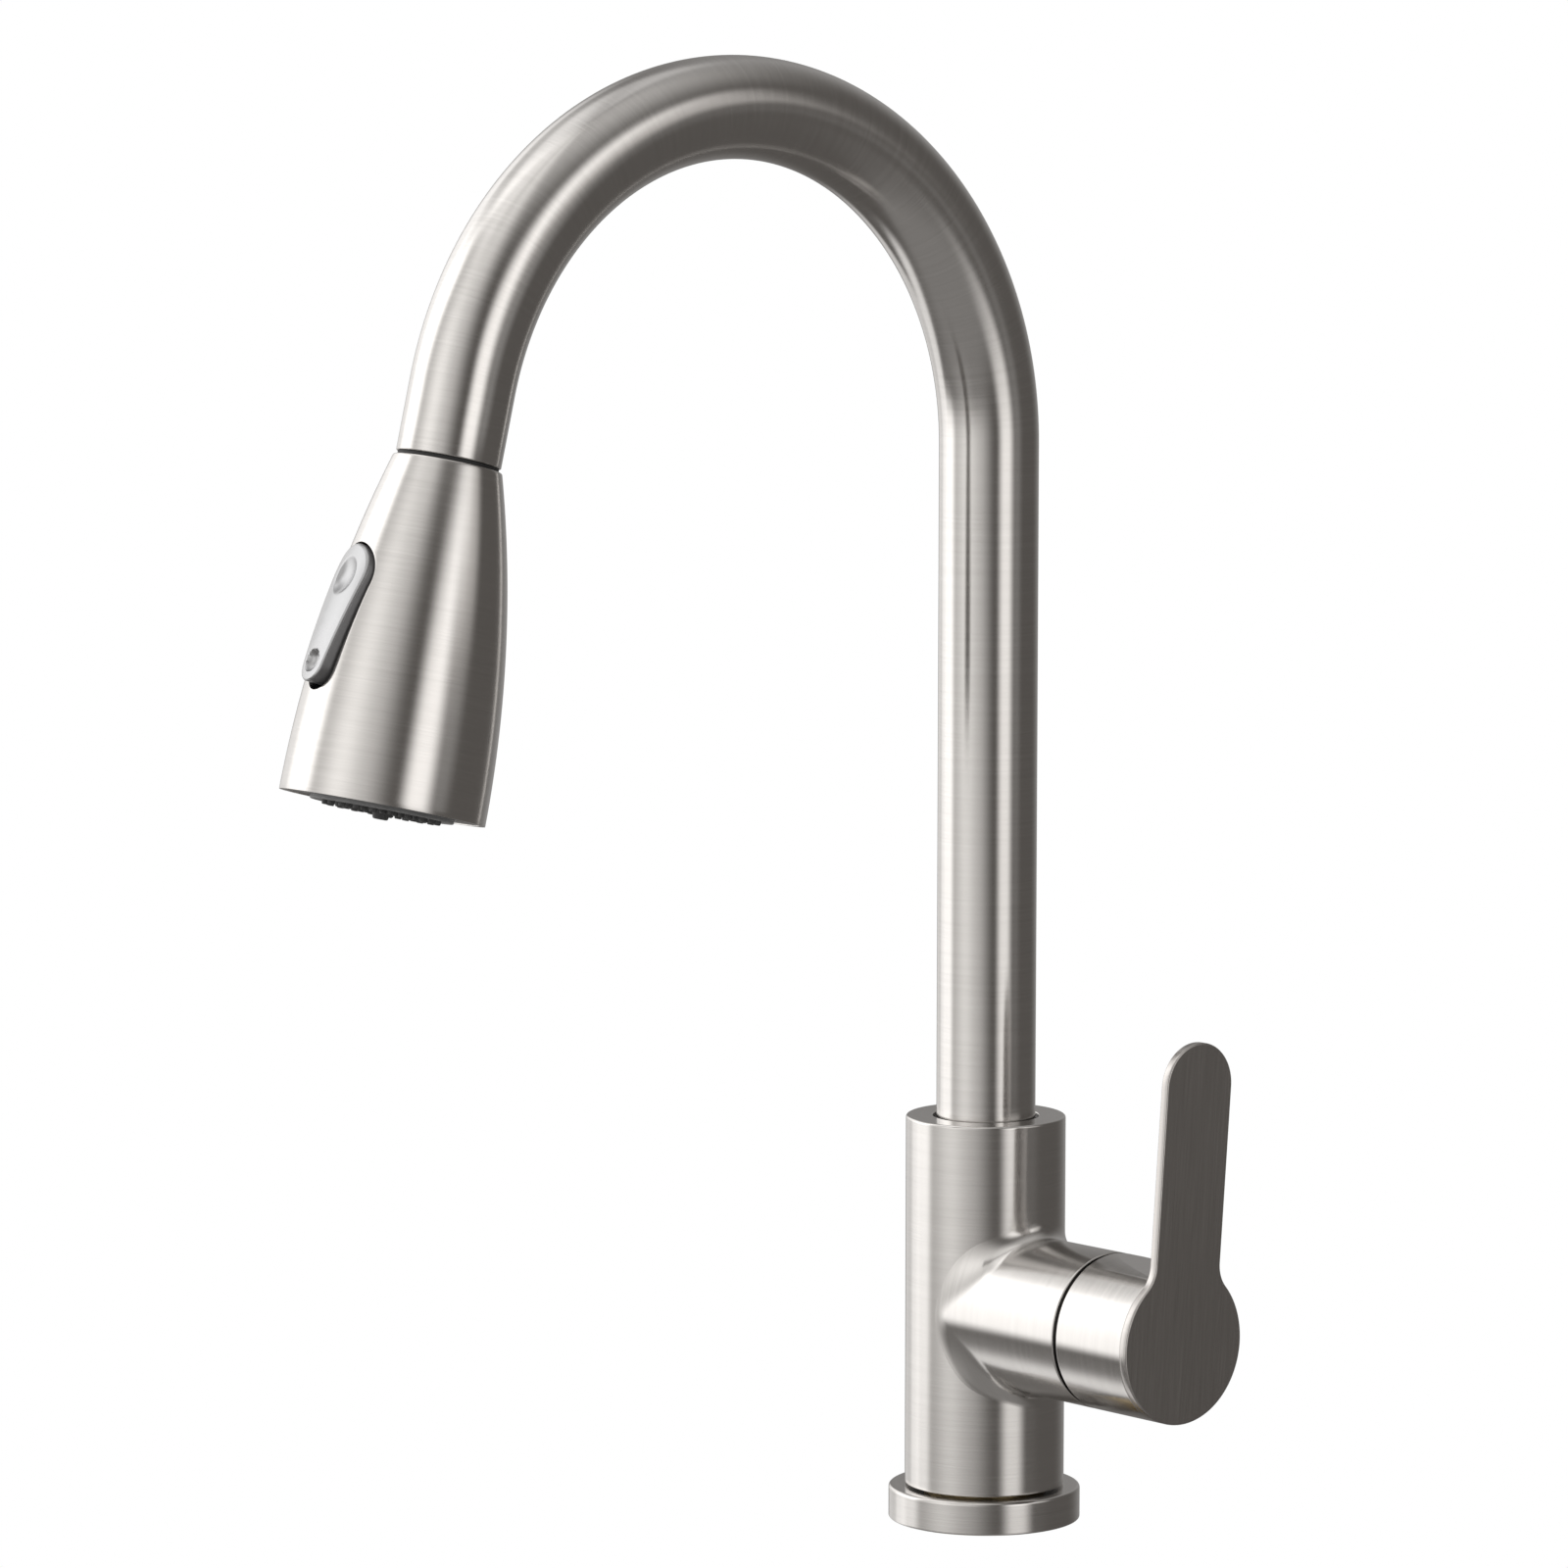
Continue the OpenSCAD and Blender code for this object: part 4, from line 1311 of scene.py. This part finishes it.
# Soft boxes round the object, by their angle to the right of the camera and their height over the horizon,
# in degrees. Each has a half width and a half height with the fade at its edges. Most of these values were
# found by a search and follow no rule.
SoftBox = namedtuple("SoftBox", "side half_width side_fade height half_height height_fade level tint")
SOFT_BOXES = [
    # tall wash on the left
    SoftBox(-63, 56, 44, 39, 53, 12, 0.62, (1.0, 0.985, 0.965)),
    # far left bank, reaching low
    SoftBox(-123, 11, 12, -12, 46, 19, 0.85, (1.0, 0.99, 0.98)),
    # left strip above the horizon
    SoftBox(-101, 11, 14, 13, 27, 10, 0.80, (1.0, 0.99, 0.98)),
    # edge strip behind on the left
    SoftBox(-150, 17, 14, 1, 31, 10, 0.60, (1.0, 0.99, 0.98)),
    # left front fill
    SoftBox(-53, 16, 31, 14, 29, 50, 0.45, (1.0, 0.99, 0.97)),
    # bright strip on the right
    SoftBox(39, 14, 18, 5, 20, 36, 1.25, (1.0, 0.98, 0.96)),
    # upper strip on the right
    SoftBox(55, 13, 34, 27, 9, 18, 0.95, (1.0, 0.985, 0.97)),
    # faint patch beside it
    SoftBox(67, 9, 17, 0, 7, 8, 0.16, (1.0, 0.99, 0.98)),
    # warm patch above it
    SoftBox(71, 13, 14, 21, 12, 12, 0.46, (1.0, 0.97, 0.94)),
    # ceiling
    SoftBox(59, 91, 80, 78, 24, 50, 0.44, (1.0, 0.99, 0.97)),
    # wash from behind
    SoftBox(166, 17, 60, 32, 56, 50, 0.26, (1.0, 1.0, 1.0)),
    # high bank behind on the left
    SoftBox(-129, 31, 25, 39, 38, 34, 0.57, (1.0, 0.99, 0.98)),
    # bounce from below
    SoftBox(-20, 78, 57, -55, 35, 12, 0.14, (1.0, 0.99, 0.98)),
    # ceiling on the left
    SoftBox(-126, 70, 30, 68, 18, 12, 0.34, (1.0, 0.99, 0.98)),
]
BASE_LIGHT = (0.118, 0.11, 0.103)


def studio():
    """The world: a dim warm room with soft boxes standing round the object."""
    world = bpy.data.worlds.new("studio")
    scene.world = world
    world.use_nodes = True
    tree = world.node_tree
    nodes, links = tree.nodes, tree.links
    background = nodes["Background"]

    def math_node(operation, *values):
        made = nodes.new("ShaderNodeMath")
        made.operation = operation
        for socket, value in zip(made.inputs, values):
            if isinstance(value, bpy.types.NodeSocket):
                links.new(value, socket)
            else:
                socket.default_value = value
        return made.outputs[0]

    def window(value, half, soft):
        made = nodes.new("ShaderNodeMapRange")
        made.interpolation_type = "SMOOTHSTEP"
        links.new(value, made.inputs["Value"])
        made.inputs["From Min"].default_value = math.radians(half + soft / 2)
        made.inputs["From Max"].default_value = math.radians(half - soft / 2)
        return made.outputs["Result"]

    parts = nodes.new("ShaderNodeSeparateXYZ")
    links.new(nodes.new("ShaderNodeTexCoord").outputs["Generated"], parts.inputs[0])
    east, north, up = parts.outputs
    east_square = math_node("MULTIPLY", east, east)
    north_square = math_node("MULTIPLY", north, north)
    flat = math_node("SQRT", math_node("ADD", east_square, north_square))
    rise = math_node("ARCTAN2", up, flat)
    toward = camera_place - camera_aim
    total = None
    for box in SOFT_BOXES:
        heading = math.atan2(toward.y, toward.x) + math.radians(box.side)
        along = math_node(
            "ADD",
            math_node("MULTIPLY", east, math.cos(heading)),
            math_node("MULTIPLY", north, math.sin(heading)),
        )
        off = math_node("ARCCOSINE", math_node("DIVIDE", along, math_node("ADD", flat, 1e-5)))
        tall = math_node("ABSOLUTE", math_node("SUBTRACT", rise, math.radians(box.height)))
        sideways = window(off, box.half_width, box.side_fade)
        upright = window(tall, box.half_height, box.height_fade)
        share = math_node("MULTIPLY", math_node("MULTIPLY", sideways, upright), box.level)
        scaled = nodes.new("ShaderNodeVectorMath")
        scaled.operation = "SCALE"
        scaled.inputs[0].default_value = box.tint
        links.new(share, scaled.inputs["Scale"])
        added = nodes.new("ShaderNodeVectorMath")
        added.operation = "ADD"
        links.new(scaled.outputs[0], added.inputs[0])
        if total is None:
            added.inputs[1].default_value = BASE_LIGHT
        else:
            links.new(total, added.inputs[1])
        total = added.outputs[0]
    links.new(total, background.inputs["Color"])
    background.inputs["Strength"].default_value = 1.0
    out = nodes["World Output"]
    links.new(seen_and_lit(tree, background.outputs[0], "ShaderNodeBackground", 1.0), out.inputs["Surface"])


studio()
